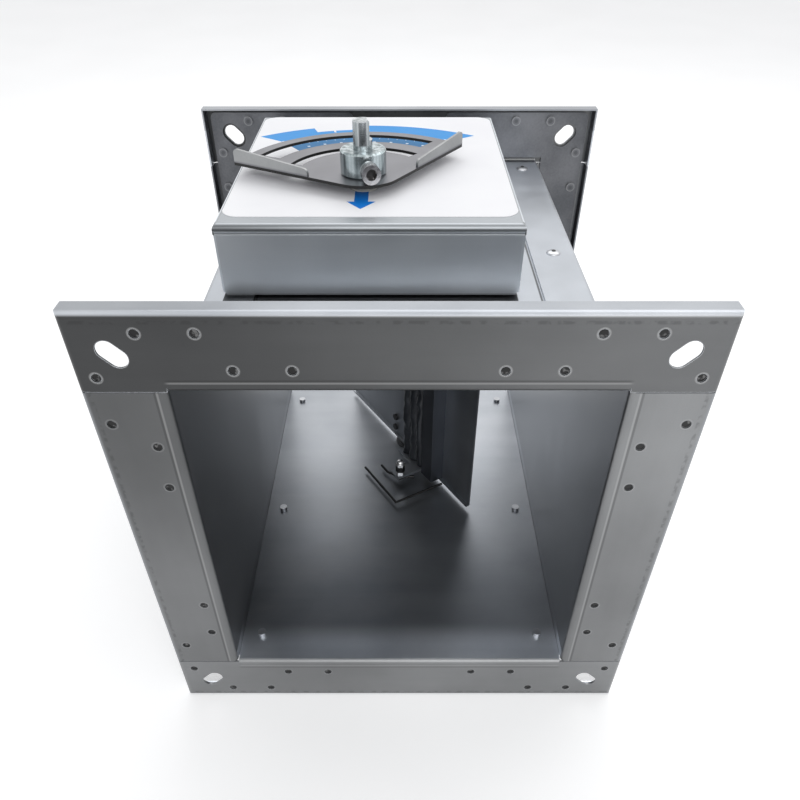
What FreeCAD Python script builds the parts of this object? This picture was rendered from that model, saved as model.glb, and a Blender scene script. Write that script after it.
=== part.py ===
"""Regulating damper for a rectangular air duct.

A sheet metal duct casing with bolted flanges, a damper blade on an upright shaft, and a
mechanism box on top with the cam, the leaf spring and the setting pointer.

Frame: +X right, +Y against the air flow (the front flange faces -Y), +Z up.
The origin is at the middle of the footprint, on the surface that the flanges stand on.
"""
import FreeCAD, Part
import Sketcher
import math
import os

os.makedirs("parts", exist_ok=True)

doc = FreeCAD.newDocument("RegulatingDamper")
sheet = doc.addObject("Spreadsheet::Sheet", "Sizes")


class Size:
    """A length or an angle: its number now, and the sheet expression that gives it."""

    def __init__(self, value, text):
        self.value = float(value)
        self.text = text

    def _join(self, other, sign, value, swapped=False):
        other = as_size(other)
        first, second = (other, self) if swapped else (self, other)
        return Size(value(first.value, second.value), f"({first.text} {sign} {second.text})")

    def __add__(self, other):
        return self._join(other, "+", lambda a, b: a + b)

    def __radd__(self, other):
        return self._join(other, "+", lambda a, b: a + b, True)

    def __sub__(self, other):
        return self._join(other, "-", lambda a, b: a - b)

    def __rsub__(self, other):
        return self._join(other, "-", lambda a, b: a - b, True)

    def __mul__(self, other):
        return self._join(other, "*", lambda a, b: a * b)

    def __rmul__(self, other):
        return self._join(other, "*", lambda a, b: a * b, True)

    def __truediv__(self, other):
        return self._join(other, "/", lambda a, b: a / b)

    def __neg__(self):
        return Size(-self.value, f"(0 - {self.text})")


def as_size(number):
    """Wrap a plain number, so that it joins in with the sizes."""
    return number if isinstance(number, Size) else Size(number, repr(float(number)))


def sine(angle):
    """The sine of an angle in degrees."""
    return Size(math.sin(math.radians(angle.value)), f"sin({angle.text})")


def cosine(angle):
    """The cosine of an angle in degrees."""
    return Size(math.cos(math.radians(angle.value)), f"cos({angle.text})")


def size(name, value):
    """Write one driving dimension into the sheet and return it."""
    size.row += 1
    sheet.set(f"A{size.row}", name)
    sheet.set(f"B{size.row}", str(value))
    sheet.setAlias(f"B{size.row}", name)
    return Size(value, f"Sizes.{name}")


size.row = 0

# How far a cutting tool reaches past what it cuts
overrun = size("overrun", 1)

# Casing: a duct with a flange at each end
duct_width = size("duct_width", 200)
duct_height = size("duct_height", 200)
casing_length = size("casing_length", 300)
flange_profile = size("flange_profile", 38)
flange_lip = size("flange_lip", 10)
wall = size("wall", 1.0)
flange_bend = size("flange_bend", 3.0)
bend_overlap = size("bend_overlap", 2)
seam_gap = size("seam_gap", 0.2)
lip_notch = size("lip_notch", 0.1)
seam_flange = size("seam_flange", 26)
seam_setback = size("seam_setback", 6)
seam_bend = size("seam_bend", 2.0)

# Corner brackets, the clinch points that hold them, and the bolt slots
bracket_leg = size("bracket_leg", 105)
bracket_inset = size("bracket_inset", 4)
bracket_width = size("bracket_width", 30)
bracket_thickness = size("bracket_thickness", 1.5)
bracket_corner = size("bracket_corner", 4)
clinch_outer_row = size("clinch_outer_row", 9.3)
clinch_inner_row = size("clinch_inner_row", 27)
clinch_outer_near = size("clinch_outer_near", 30.5)
clinch_outer_far = size("clinch_outer_far", 55)
clinch_inner_near = size("clinch_inner_near", 68)
clinch_inner_far = size("clinch_inner_far", 93)
clinch_pit_radius = size("clinch_pit_radius", 2.2)
clinch_pit_depth = size("clinch_pit_depth", 0.7)
clinch_button_radius = size("clinch_button_radius", 3.1)
clinch_button_height = size("clinch_button_height", 1.3)
bolt_slot_inset = size("bolt_slot_inset", 19)
bolt_slot_width = size("bolt_slot_width", 9)
bolt_slot_length = size("bolt_slot_length", 14.5)
bracket_slot_gap = size("bracket_slot_gap", 1.5)

# Blind rivets in the long seams
rivet_shank_radius = size("rivet_shank_radius", 2.0)
rivet_head_radius = size("rivet_head_radius", 4.0)
rivet_head_height = size("rivet_head_height", 1.5)
rivet_tail_radius = size("rivet_tail_radius", 2.6)
rivet_tail_height = size("rivet_tail_height", 2.6)
base_rivet_tail_height = size("base_rivet_tail_height", 1.8)
rivet_clearance = size("rivet_clearance", 0.05)
seam_rivet_inset = size("seam_rivet_inset", 12)
seam_rivet_end = size("seam_rivet_end", 21)
seam_rivet_shift = size("seam_rivet_shift", 13)

# Mechanism box on top of the casing
box_left_inset = size("box_left_inset", 9)
box_right_inset = size("box_right_inset", 38)
box_rear_inset = size("box_rear_inset", 32)
box_length = size("box_length", 183)
box_height = size("box_height", 35.5)
box_gap = size("box_gap", 2.5)
box_bend = size("box_bend", 2.5)
box_corner_gap = size("box_corner_gap", 1.3)
box_corner_web = size("box_corner_web", 5)
base_thickness = size("base_thickness", 1.5)
base_clearance = size("base_clearance", 0.4)
base_foot_radius = size("base_foot_radius", 8)
base_foot_inset = size("base_foot_inset", 16)
tab_height = size("tab_height", 13)
tab_width = size("tab_width", 26)
tab_spread = size("tab_spread", 110)
cover_screw_radius = size("cover_screw_radius", 2.0)
cover_screw_head_radius = size("cover_screw_head_radius", 3.8)
cover_screw_head_height = size("cover_screw_head_height", 2.0)
cover_screw_length = size("cover_screw_length", 6)
cover_screw_rise = size("cover_screw_rise", 8)
label_thickness = size("label_thickness", 0.2)
label_side = size("label_side", 2.2)
label_front = size("label_front", 10)
label_rear = size("label_rear", 2)
label_corner = size("label_corner", 9)
label_hole_gap = size("label_hole_gap", 0.5)

# Setting spindle with its pointer, hub and clamp screw
setting_x = size("setting_x", -18.8)
axis_spacing = size("axis_spacing", 84.6)
setting_angle = size("setting_angle", 14)
spindle_radius = size("spindle_radius", 5)
spindle_top = size("spindle_top", 33)
spindle_foot = size("spindle_foot", 0.5)
spindle_flat_depth = size("spindle_flat_depth", 2.2)
spindle_flat_length = size("spindle_flat_length", 9)
running_clearance = size("running_clearance", 0.05)
bush_wall = size("bush_wall", 2.5)
bush_flange_radius = size("bush_flange_radius", 10)
bush_flange_height = size("bush_flange_height", 2)
bush_rise = size("bush_rise", 0.6)
pointer_gap = size("pointer_gap", 5.9)
pointer_thickness = size("pointer_thickness", 1.5)
pointer_half_angle = size("pointer_half_angle", 47)
pointer_apex = size("pointer_apex", 27.5)
pointer_nose_radius = size("pointer_nose_radius", 20.5)
rim_outer = size("rim_outer", 71.7)
rim_inner = size("rim_inner", 65.3)
band_outer = size("band_outer", 52.3)
band_inner = size("band_inner", 42.5)
centre_outer = size("centre_outer", 35.5)
outer_window_angle = size("outer_window_angle", 50)
inner_window_angle = size("inner_window_angle", 57)
wing_start = size("wing_start", 41)
wing_length = size("wing_length", 48)
wing_height_inner = size("wing_height_inner", 5.2)
wing_height_outer = size("wing_height_outer", 8.7)
wing_corner = size("wing_corner", 2.5)
hub_radius = size("hub_radius", 12)
hub_height = size("hub_height", 12.2)
hub_chamfer = size("hub_chamfer", 0.8)
clamp_screw_rise = size("clamp_screw_rise", 5.2)
clamp_screw_radius = size("clamp_screw_radius", 3)
clamp_head_radius = size("clamp_head_radius", 4.9)
clamp_head_length = size("clamp_head_length", 6)
clamp_neck = size("clamp_neck", 2.5)
clamp_tip_gap = size("clamp_tip_gap", 0.3)
clamp_socket_radius = size("clamp_socket_radius", 2.9)
clamp_socket_depth = size("clamp_socket_depth", 3)

# Spring lever and leaf spring inside the box
lever_rise = size("lever_rise", 4)
lever_thickness = size("lever_thickness", 3)
lever_boss_radius = size("lever_boss_radius", 9)
lever_boss_height = size("lever_boss_height", 8)
lever_length = size("lever_length", 26)
lever_width = size("lever_width", 12)
lever_post = size("lever_post", 12)
lever_post_length = size("lever_post_length", 4)
spring_thickness = size("spring_thickness", 0.5)
spring_width = size("spring_width", 9)
spring_tip_gap = size("spring_tip_gap", 0.4)

# Damper blade, hung on an upright shaft
pivot_x = size("pivot_x", 8.4)
pivot_inset = size("pivot_inset", 78.9)
blade_angle = size("blade_angle", -59.1)
blade_near_width = size("blade_near_width", 95.4)
blade_far_width = size("blade_far_width", 84)
blade_end_gap = size("blade_end_gap", 4)
blade_lip = size("blade_lip", 3.5)
blade_bend = size("blade_bend", 1.4)
shaft_radius = size("shaft_radius", 5)
shaft_top = size("shaft_top", 29)
shaft_foot = size("shaft_foot", 0.8)
bearing_wall = size("bearing_wall", 2.5)
bearing_flange_radius = size("bearing_flange_radius", 11)
bearing_flange_height = size("bearing_flange_height", 1.6)
collar_radius = size("collar_radius", 7.8)
collar_gap = size("collar_gap", 0.3)
collar_height = size("collar_height", 1.6)
strap_thickness = size("strap_thickness", 1.5)
strap_height = size("strap_height", 18)
strap_foot = size("strap_foot", 10)
strap_rise = size("strap_rise", 11)
strap_screw_radius = size("strap_screw_radius", 1.6)
strap_screw_head_radius = size("strap_screw_head_radius", 2.7)
strap_screw_head_height = size("strap_screw_head_height", 1.6)
strap_screw_offset = size("strap_screw_offset", 11.5)
strap_screw_pitch = size("strap_screw_pitch", 10)
strap_screw_tip = size("strap_screw_tip", 1.5)
pressure_hole_radius = size("pressure_hole_radius", 6)
bellows_start = size("bellows_start", 15.5)
bellows_end_inset = size("bellows_end_inset", 50.4)
bellows_depth = size("bellows_depth", 13)
rail_end_inset = size("rail_end_inset", 35.9)
rail_depth = size("rail_depth", 11)
rail_gap = size("rail_gap", 0.5)
plate_thickness = size("plate_thickness", 1.5)
plate_rise = size("plate_rise", 3)
plate_depth = size("plate_depth", 14)
plate_tab_width = size("plate_tab_width", 11)
plate_tab_depth = size("plate_tab_depth", 32)
stud_inset = size("stud_inset", 55.9)
stud_out = size("stud_out", 26.7)
stud_radius = size("stud_radius", 2)
stud_rise = size("stud_rise", 0.5)
nut_radius = size("nut_radius", 3.6)
nut_height = size("nut_height", 9.3)
nut_dome_radius = size("nut_dome_radius", 2.9)
nut_bore_gap = size("nut_bore_gap", 0.1)
wire_radius = size("wire_radius", 0.9)
wire_drop = size("wire_drop", 0.6)
frame_wire_inset = size("frame_wire_inset", 31.4)
frame_wire_out = size("frame_wire_out", 45.2)
frame_wire_end = size("frame_wire_end", 16)
hook_loop = size("hook_loop", 3.0)
hook_reach = size("hook_reach", 19)

# Cam on the blade shaft, with its stop arm and the stop pegs
cam_rise = size("cam_rise", 11)
cam_radius = size("cam_radius", 28)
cam_offset = size("cam_offset", 8)
cam_direction = size("cam_direction", -120)
cam_thickness = size("cam_thickness", 2)
cam_hub_radius = size("cam_hub_radius", 9)
cam_hub_height = size("cam_hub_height", 9)
cam_screw_radius = size("cam_screw_radius", 2)
cam_screw_gap = size("cam_screw_gap", 0.1)
cam_screw_rise = size("cam_screw_rise", 2)
stop_arm_length = size("stop_arm_length", 45)
stop_arm_width = size("stop_arm_width", 8)
stop_arm_angle = size("stop_arm_angle", 5)
stop_peg_radius = size("stop_peg_radius", 3)
stop_peg_rise = size("stop_peg_rise", 2)
stop_peg_circle = size("stop_peg_circle", 41)
stop_open_angle = size("stop_open_angle", 41.6)
stop_closed_angle = size("stop_closed_angle", 52.6)
retaining_ring_radius = size("retaining_ring_radius", 8)
retaining_ring_height = size("retaining_ring_height", 1.2)

# Places that follow from the sizes above
half_width = duct_width / 2 + flange_profile
half_duct = duct_width / 2
half_length = casing_length / 2
floor_level = flange_profile
ceiling_level = flange_profile + duct_height
flange_height = duct_height + 2 * flange_profile
middle_level = flange_height / 2
casing_top = ceiling_level + 2 * wall
base_level = casing_top
base_top = base_level + base_thickness
box_left = box_left_inset - half_duct
box_right = half_duct - box_right_inset
box_rear = half_length - box_rear_inset
box_front = box_rear - box_length
pivot_y = half_length - pivot_inset
setting_y = pivot_y - axis_spacing
cover_bottom = ceiling_level + wall + box_gap
cover_top = cover_bottom + box_height
label_top = cover_top + label_thickness
pointer_bottom = cover_top + pointer_gap
pointer_top = pointer_bottom + pointer_thickness
blade_bottom = floor_level + blade_end_gap
blade_top = ceiling_level - blade_end_gap
bellows_end = blade_near_width - bellows_end_inset
rail_end = blade_near_width - rail_end_inset
stud_along = blade_near_width - stud_inset
frame_wire_along = blade_near_width - frame_wire_inset

PLANES = {"XY": ("XY_Plane", 1), "YZ": ("YZ_Plane", 1), "XZ": ("XZ_Plane", -1)}
AXES = {
    "x": FreeCAD.Rotation(FreeCAD.Vector(0, 1, 0), 90),
    "y": FreeCAD.Rotation(FreeCAD.Vector(1, 0, 0), -90),
    "z": FreeCAD.Rotation(),
}


def bind(obj, properties):
    """Give an object its properties, and bind each size to the sheet."""
    for name, value in properties.items():
        if isinstance(value, Size):
            obj.setExpression(name, value.text)
        else:
            setattr(obj, name, value)


def place(obj, x, y, z=0, angle=None):
    """Put an object at a point, turned about the upright axis."""
    turn = angle.value if angle is not None else 0
    point = FreeCAD.Vector(as_size(x).value, as_size(y).value, as_size(z).value)
    obj.Placement = FreeCAD.Placement(point, FreeCAD.Rotation(FreeCAD.Vector(0, 0, 1), turn))
    bind(obj, {
        "Placement.Base.x": as_size(x),
        "Placement.Base.y": as_size(y),
        "Placement.Base.z": as_size(z),
    })
    if angle is not None:
        obj.setExpression("Placement.Rotation.Angle", angle.text)
        obj.setExpression("Placement.Rotation.Axis.z", "1")
    return obj


def body(name):
    """Start a body."""
    return doc.addObject("PartDesign::Body", name)


def draw(owner, plane, offset, loops):
    """Draw closed loops of points, or circles, on one of the body's own planes."""
    role, normal = PLANES[plane]
    sketch = owner.newObject("Sketcher::SketchObject", f"{owner.Name}_sketch")
    origin_plane = [f for f in owner.Origin.OriginFeatures if f.Role == role][0]
    sketch.AttachmentSupport = [(origin_plane, "")]
    sketch.MapMode = "FlatFace"
    sketch.setExpression("AttachmentOffset.Base.z", (normal * as_size(offset)).text)
    for loop in loops:
        if isinstance(loop, tuple):
            draw_circle(sketch, *loop)
        else:
            draw_polygon(sketch, loop)
    return sketch


def fix_point(sketch, geometry, end, x, y):
    """Hold one point of a sketch at two sizes from the origin."""
    for kind, value in (("DistanceX", as_size(x)), ("DistanceY", as_size(y))):
        index = sketch.addConstraint(
            Sketcher.Constraint(kind, -1, 1, geometry, end, value.value))
        sketch.setExpression(f"Constraints[{index}]", value.text)


def draw_circle(sketch, x, y, radius):
    """Draw one circle with its centre and radius bound."""
    centre = FreeCAD.Vector(as_size(x).value, as_size(y).value, 0)
    circle = Part.Circle(centre, FreeCAD.Vector(0, 0, 1), radius.value)
    geometry = sketch.addGeometry(circle)
    fix_point(sketch, geometry, 3, x, y)
    index = sketch.addConstraint(Sketcher.Constraint("Radius", geometry, radius.value))
    sketch.setExpression(f"Constraints[{index}]", radius.text)


def draw_polygon(sketch, points):
    """Draw one closed polygon with every corner bound."""
    corners = [FreeCAD.Vector(as_size(x).value, as_size(y).value, 0) for x, y in points]
    count = len(corners)
    first = sketch.GeometryCount
    for i in range(count):
        sketch.addGeometry(Part.LineSegment(corners[i], corners[(i + 1) % count]))
    for i in range(count):
        following = first + (i + 1) % count
        sketch.addConstraint(Sketcher.Constraint("Coincident", first + i, 2, following, 1))
    for i, (x, y) in enumerate(points):
        fix_point(sketch, first + i, 1, x, y)


def rebuild(feature):
    """Rebuild the model, and stop at a feature that fails."""
    doc.recompute()
    if "Invalid" in feature.State or "Error" in feature.State:
        raise RuntimeError(f"{feature.Name} did not rebuild")
    return feature


def pad(owner, plane, low, high, loops):
    """Add the drawn outline between two levels across the plane."""
    normal = PLANES[plane][1]
    sketch = draw(owner, plane, low if normal > 0 else high, loops)
    feature = owner.newObject("PartDesign::Pad", f"{owner.Name}_pad")
    feature.Profile = sketch
    bind(feature, {"Length": as_size(high) - low})
    return rebuild(feature)


def pocket(owner, plane, low, high, loops):
    """Cut the drawn outline away between two levels across the plane."""
    normal = PLANES[plane][1]
    before = owner.Shape.Volume
    sketch = draw(owner, plane, high if normal > 0 else low, loops)
    feature = owner.newObject("PartDesign::Pocket", f"{owner.Name}_pocket")
    feature.Profile = sketch
    bind(feature, {"Length": as_size(high) - low})
    rebuild(feature)
    if not owner.Shape.Volume < before:
        raise RuntimeError(f"{feature.Name} cuts nothing")
    return feature


def edges_along(shape, axis, spots):
    """Name the straight edges that run along one axis through the given spots."""
    others = [i for i in range(3) if i != "xyz".index(axis)]
    found = []
    for number, edge in enumerate(shape.Edges, 1):
        ends = [v.Point for v in edge.Vertexes]
        if len(ends) != 2 or not isinstance(edge.Curve, Part.Line):
            continue
        for spot in spots:
            want = [as_size(value).value for value in spot]
            if all(abs(e[i] - w) < 1e-4 for e in ends for i, w in zip(others, want)):
                found.append(f"Edge{number}")
                break
    return found


def round_edges(owner, radius, names, kind="Fillet"):
    """Round the named edges of the body's last feature, or bevel them."""
    previous = owner.Tip
    feature = owner.newObject(f"PartDesign::{kind}", f"{owner.Name}_{kind}")
    feature.Base = (previous, names)
    bind(feature, {"Radius" if kind == "Fillet" else "Size": radius})
    return rebuild(feature)


def block(name, x, y, z):
    """A box between two values on each axis."""
    obj = doc.addObject("Part::Box", name)
    (x0, x1), (y0, y1), (z0, z1) = [[as_size(v) for v in pair] for pair in (x, y, z)]
    bind(obj, {"Length": x1 - x0, "Width": y1 - y0, "Height": z1 - z0})
    return place(obj, x0, y0, z0)


def rod(name, radius, low, high, spot=(0, 0), axis="z"):
    """A cylinder along one axis, between two levels on it, at a spot across it."""
    obj = doc.addObject("Part::Cylinder", name)
    bind(obj, {"Radius": as_size(radius), "Height": as_size(high) - low})
    across = [as_size(v) for v in spot]
    across.insert("xyz".index(axis), as_size(low))
    place(obj, *across)
    obj.Placement = FreeCAD.Placement(obj.Placement.Base, AXES[axis])
    return obj


def cut(name, base, *tools):
    """Take the tools away from the base."""
    obj = doc.addObject("Part::Cut", name)
    obj.Base = base
    obj.Tool = tools[0] if len(tools) == 1 else fuse(f"{name}_tools", *tools)
    return obj


def fuse(name, *shapes):
    """Join shapes that touch into one solid."""
    obj = doc.addObject("Part::MultiFuse", name)
    obj.Shapes = list(shapes)
    obj.Refine = True
    return obj


def group(name, solids):
    """Keep one piece or several equal ones as solids of their own, to be placed together."""
    obj = doc.addObject("Part::Compound", name)
    obj.Links = list(solids)
    return obj


def ring(name, outer, inner, low, high, spot=(0, 0)):
    """A plain ring on an upright axis."""
    hole = rod(f"{name}_hole", inner, as_size(low) - overrun, as_size(high) + overrun, spot)
    return cut(name, rod(f"{name}_body", outer, low, high, spot), hole)


nodes = {}


def finish(name, obj):
    """Register a sub-part under its own name."""
    obj.Label = name
    nodes[name] = obj
    return obj


# Bolt slots
# Each corner has one slot at 45 degrees through both flanges, with a wider one in the brackets.

def slot_punch(name, side, end, radius):
    """A long bar with the slot's section, at one corner of the flanges."""
    reach = half_length + overrun
    straight = (bolt_slot_length - bolt_slot_width) / 2
    bar = block(f"{name}_bar", (-straight, straight), (-reach, reach),
                (-radius, radius))
    ends = [rod(f"{name}_{tag}", radius, -reach, reach, (shift, 0), "y")
            for tag, shift in (("inner", straight), ("outer", -straight))]
    punch = fuse(name, bar, *ends)
    z = flange_height - bolt_slot_inset if end > 0 else bolt_slot_inset
    place(punch, side * (half_width - bolt_slot_inset), 0, z)
    punch.Placement = FreeCAD.Placement(
        punch.Placement.Base, FreeCAD.Rotation(FreeCAD.Vector(0, 1, 0), -45 * side * end))
    return punch


slot_radius = bolt_slot_width / 2
slots = {(side, end): slot_punch(f"slot_{side + 1}_{end + 1}", side, end, slot_radius)
         for side in (-1, 1) for end in (-1, 1)}
wide_slots = {(side, end): slot_punch(f"wide_slot_{side + 1}_{end + 1}", side, end,
                                      slot_radius + bracket_slot_gap)
              for side in (-1, 1) for end in (-1, 1)}

# Clinch points, as distances along the flange's side and in from its top or bottom edge
clinches = [
    (clinch_outer_near, clinch_outer_row),
    (clinch_outer_far, clinch_outer_row),
    (clinch_inner_near, clinch_inner_row),
    (clinch_inner_far, clinch_inner_row),
]
clinches += [(down, along) for along, down in clinches]

seam_rivet_rows = (seam_rivet_end - half_length, -seam_rivet_shift, half_length - seam_rivet_end)
seam_rivet_spots = [(side * (half_duct - seam_rivet_inset), row)
                    for side in (-1, 1) for row in seam_rivet_rows]
base_rivet_spots = [
    (x, y)
    for x in (seam_flange - half_duct - wall + base_foot_radius + base_clearance,
              box_right - wall - base_foot_inset)
    for y in (box_front + wall + base_foot_inset, box_rear - wall - base_foot_inset)
]
rivet_hole = rivet_shank_radius + rivet_clearance


# Top and bottom panels
# Each is one sheet: the duct wall, a flange strip of the full width at each end, and lips.

def level_panel(name, end, holes):
    """The top panel for end = 1, the bottom one for end = -1."""
    def up(height):
        return middle_level + end * (height - middle_level)

    panel = body(f"{name}_sheet")
    inner = half_duct - seam_gap
    upright = ceiling_level + flange_bend + bend_overlap
    profile = [
        (-half_length, up(upright)), (-half_length, up(ceiling_level)),
        (half_length, up(ceiling_level)), (half_length, up(upright)),
        (half_length - wall, up(upright)), (half_length - wall, up(ceiling_level + wall)),
        (wall - half_length, up(ceiling_level + wall)), (wall - half_length, up(upright)),
    ]
    pad(panel, "YZ", -inner, inner, [profile])
    mouth = [(s * half_length, up(ceiling_level)) for s in (-1, 1)]
    round_edges(panel, flange_bend, edges_along(panel.Shape, "x", mouth))
    mouth = [(s * (half_length - wall), up(ceiling_level + wall)) for s in (-1, 1)]
    round_edges(panel, flange_bend - wall, edges_along(panel.Shape, "x", mouth))
    seam = ceiling_level + seam_gap
    strip = [
        (-half_width, up(seam)), (-half_width, up(flange_height)),
        (half_width, up(flange_height)), (half_width, up(seam)),
        (inner, up(seam)), (inner, up(ceiling_level + flange_bend)),
        (-inner, up(ceiling_level + flange_bend)), (-inner, up(seam)),
    ]
    lips = [
        (-half_width, up(seam)), (-half_width, up(flange_height)),
        (half_width, up(flange_height)), (half_width, up(seam)),
        (half_width - wall, up(seam)), (half_width - wall, up(flange_height - wall)),
        (wall - half_width, up(flange_height - wall)), (wall - half_width, up(seam)),
    ]
    pad(panel, "XZ", -half_length, wall - half_length, [strip])
    pad(panel, "XZ", half_length - wall, half_length, [strip])
    pad(panel, "XZ", -half_length, flange_lip - half_length, [lips])
    pad(panel, "XZ", half_length - flange_lip, half_length, [lips])
    for inset, radius in ((0, flange_bend), (wall, flange_bend - wall)):
        face, side, top = half_length - inset, half_width - inset, up(flange_height - inset)
        names = edges_along(panel.Shape, "x", [(-face, top), (face, top)])
        corners = [(sx * side, sy * face) for sx in (-1, 1) for sy in (-1, 1)]
        names += edges_along(panel.Shape, "z", corners)
        round_edges(panel, radius, names)
    inward, outward = half_width - flange_bend - overrun, half_width + overrun
    notch = [[(sx * inward, up(seam - overrun)), (sx * inward, up(seam + lip_notch)),
              (sx * outward, up(seam + lip_notch)), (sx * outward, up(seam - overrun))]
             for sx in (-1, 1)]
    pocket(panel, "XZ", -half_length - overrun, half_length + overrun, notch)
    pits = [(sx * (half_width - along), up(flange_height - down), clinch_pit_radius)
            for along, down in clinches for sx in (-1, 1) if down.value < flange_profile.value]
    pocket(panel, "XZ", -half_length, clinch_pit_depth - half_length, pits)
    pocket(panel, "XZ", half_length - clinch_pit_depth, half_length, pits)
    low, high = ceiling_level - overrun, ceiling_level + 2 * wall
    if end < 0:
        low, high = up(high), up(low)
    pocket(panel, "XY", low, high, holes)
    return finish(name, cut(name, panel, slots[-1, end], slots[1, end]))


seam_holes = [(x, y, rivet_hole) for x, y in seam_rivet_spots]
bearing_hole = shaft_radius + running_clearance + bearing_wall
level_panel("top_panel", 1, seam_holes
            + [(x, y, rivet_hole) for x, y in base_rivet_spots]
            + [(pivot_x, pivot_y, bearing_hole)])
level_panel("bottom_panel", -1, seam_holes + [(pivot_x, pivot_y, bearing_hole)])


# Side panels
# Each is one sheet too, with a seam flange that laps over the top and bottom panels.

def side_panel(name, side):
    """The left panel for side = -1, the right one for side = 1."""
    panel = body(f"{name}_sheet")
    low, high = floor_level + seam_gap, ceiling_level - seam_gap
    upright = half_duct + flange_bend + bend_overlap
    profile = [
        (side * upright, -half_length), (side * half_duct, -half_length),
        (side * half_duct, half_length), (side * upright, half_length),
        (side * upright, half_length - wall), (side * (half_duct + wall), half_length - wall),
        (side * (half_duct + wall), wall - half_length), (side * upright, wall - half_length),
    ]
    pad(panel, "XY", low, high, [profile])
    mouth = [(side * half_duct, s * half_length) for s in (-1, 1)]
    round_edges(panel, flange_bend, edges_along(panel.Shape, "z", mouth))
    mouth = [(side * (half_duct + wall), s * (half_length - wall)) for s in (-1, 1)]
    round_edges(panel, flange_bend - wall, edges_along(panel.Shape, "z", mouth))
    strip_start = side * (half_duct + flange_bend)
    for sign in (-1, 1):
        levels = [sign * half_length, sign * (half_length - wall)]
        strip = [(strip_start, low), (side * half_width, low),
                 (side * half_width, high), (strip_start, high)]
        pad(panel, "XZ", *sorted(levels, key=lambda level: level.value), [strip])
        levels = [sign * half_length, sign * (half_length - flange_lip)]
        lip = [(side * (half_width - wall), low), (side * half_width, low),
               (side * half_width, high), (side * (half_width - wall), high)]
        pad(panel, "XZ", *sorted(levels, key=lambda level: level.value), [lip])
    for inset, radius in ((0, flange_bend), (wall, flange_bend - wall)):
        spots = [(side * (half_width - inset), s * (half_length - inset)) for s in (-1, 1)]
        round_edges(panel, radius, edges_along(panel.Shape, "z", spots))
    inward, outward = half_width - flange_bend - overrun, half_width + overrun
    notch = [[(side * inward, level), (side * outward, level),
              (side * outward, level + shift), (side * inward, level + shift)]
             for level, shift in ((low, lip_notch), (high, -lip_notch))]
    pocket(panel, "XZ", -half_length - overrun, half_length + overrun, notch)
    pits = [(side * (half_width - along), level, clinch_pit_radius)
            for along, down in clinches if down.value > flange_profile.value
            for level in (down, flange_height - down)]
    pocket(panel, "XZ", -half_length, clinch_pit_depth - half_length, pits)
    pocket(panel, "XZ", half_length - clinch_pit_depth, half_length, pits)
    outer = side * (half_duct + wall)
    reach = side * (half_duct + wall - seam_flange)
    web = [
        (reach, casing_top), (outer, casing_top),
        (outer, flange_height - casing_top), (reach, flange_height - casing_top),
        (reach, flange_height - casing_top + wall),
        (side * half_duct, flange_height - casing_top + wall),
        (side * half_duct, casing_top - wall), (reach, casing_top - wall),
    ]
    back = half_length - seam_setback
    pad(panel, "XZ", -back, back, [web])
    outer_bends = [(outer, casing_top), (outer, flange_height - casing_top)]
    round_edges(panel, seam_bend, edges_along(panel.Shape, "y", outer_bends))
    rows = [(x, y, rivet_hole) for x, y in seam_rivet_spots if x.value * side > 0]
    for level in (casing_top - wall, flange_height - casing_top):
        pocket(panel, "XY", level - overrun, level + wall + overrun, rows)
    return finish(name, panel)


side_panel("left_panel", -1)
side_panel("right_panel", 1)


# Corner brackets
# Flat L plates behind the strips, held by clinch points whose buttons stand on the back.

def corner_bracket(name, side, end, row):
    """One bracket; row is -1 at the front flange and 1 at the rear one."""
    def spot(along, down):
        x = side * (half_width - along)
        return x, (flange_height - down if end > 0 else as_size(down))

    plate = body(f"{name}_plate")
    near, across, far = bracket_inset, bracket_inset + bracket_width, bracket_leg
    outline = [spot(near, near), spot(far, near), spot(far, across),
               spot(across, across), spot(across, far), spot(near, far)]
    back = wall + bracket_thickness
    levels = (-half_length + wall, -half_length + back)
    if row > 0:
        levels = (half_length - back, half_length - wall)
    pad(plate, "XZ", *levels, [outline])
    corners = [outline[i] for i in (0, 1, 2, 4, 5)]
    round_edges(plate, bracket_corner, edges_along(plate.Shape, "y", corners))
    buttons = (levels[1], levels[1] + clinch_button_height)
    if row > 0:
        buttons = (levels[0] - clinch_button_height, levels[0])
    circles = [(*spot(along, down), clinch_button_radius) for along, down in clinches]
    pad(plate, "XZ", *buttons, circles)
    return finish(name, cut(name, plate, wide_slots[side, end]))


for row, row_name in ((-1, "front"), (1, "rear")):
    for end, end_name in ((-1, "lower"), (1, "upper")):
        for side, side_name in ((-1, "left"), (1, "right")):
            corner_bracket(f"{row_name}_bracket_{end_name}_{side_name}", side, end, row)


# Rivets
# A domed head, a shank through the sheets and a spread tail on the blind side.

def rivet(name, x, y, head_level, tail_level, tail_height):
    """One blind rivet; its head stands on one level and its tail hangs from the other."""
    up = 1 if head_level.value > tail_level.value else -1
    dome = doc.addObject("Part::Ellipsoid", f"{name}_dome")
    bind(dome, {"Radius1": rivet_head_height, "Radius2": rivet_head_radius,
                "Radius3": rivet_head_radius})
    dome.Angle1 = 0 if up > 0 else -90
    dome.Angle2 = 90 if up > 0 else 0
    place(dome, x, y, head_level)
    tail_end = tail_level - up * tail_height
    shank = rod(f"{name}_shank", rivet_shank_radius,
                *sorted((head_level, tail_level), key=lambda level: level.value), (x, y))
    tail = rod(f"{name}_tail", rivet_tail_radius,
               *sorted((tail_level, tail_end), key=lambda level: level.value), (x, y))
    return fuse(name, dome, shank, tail)


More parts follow.
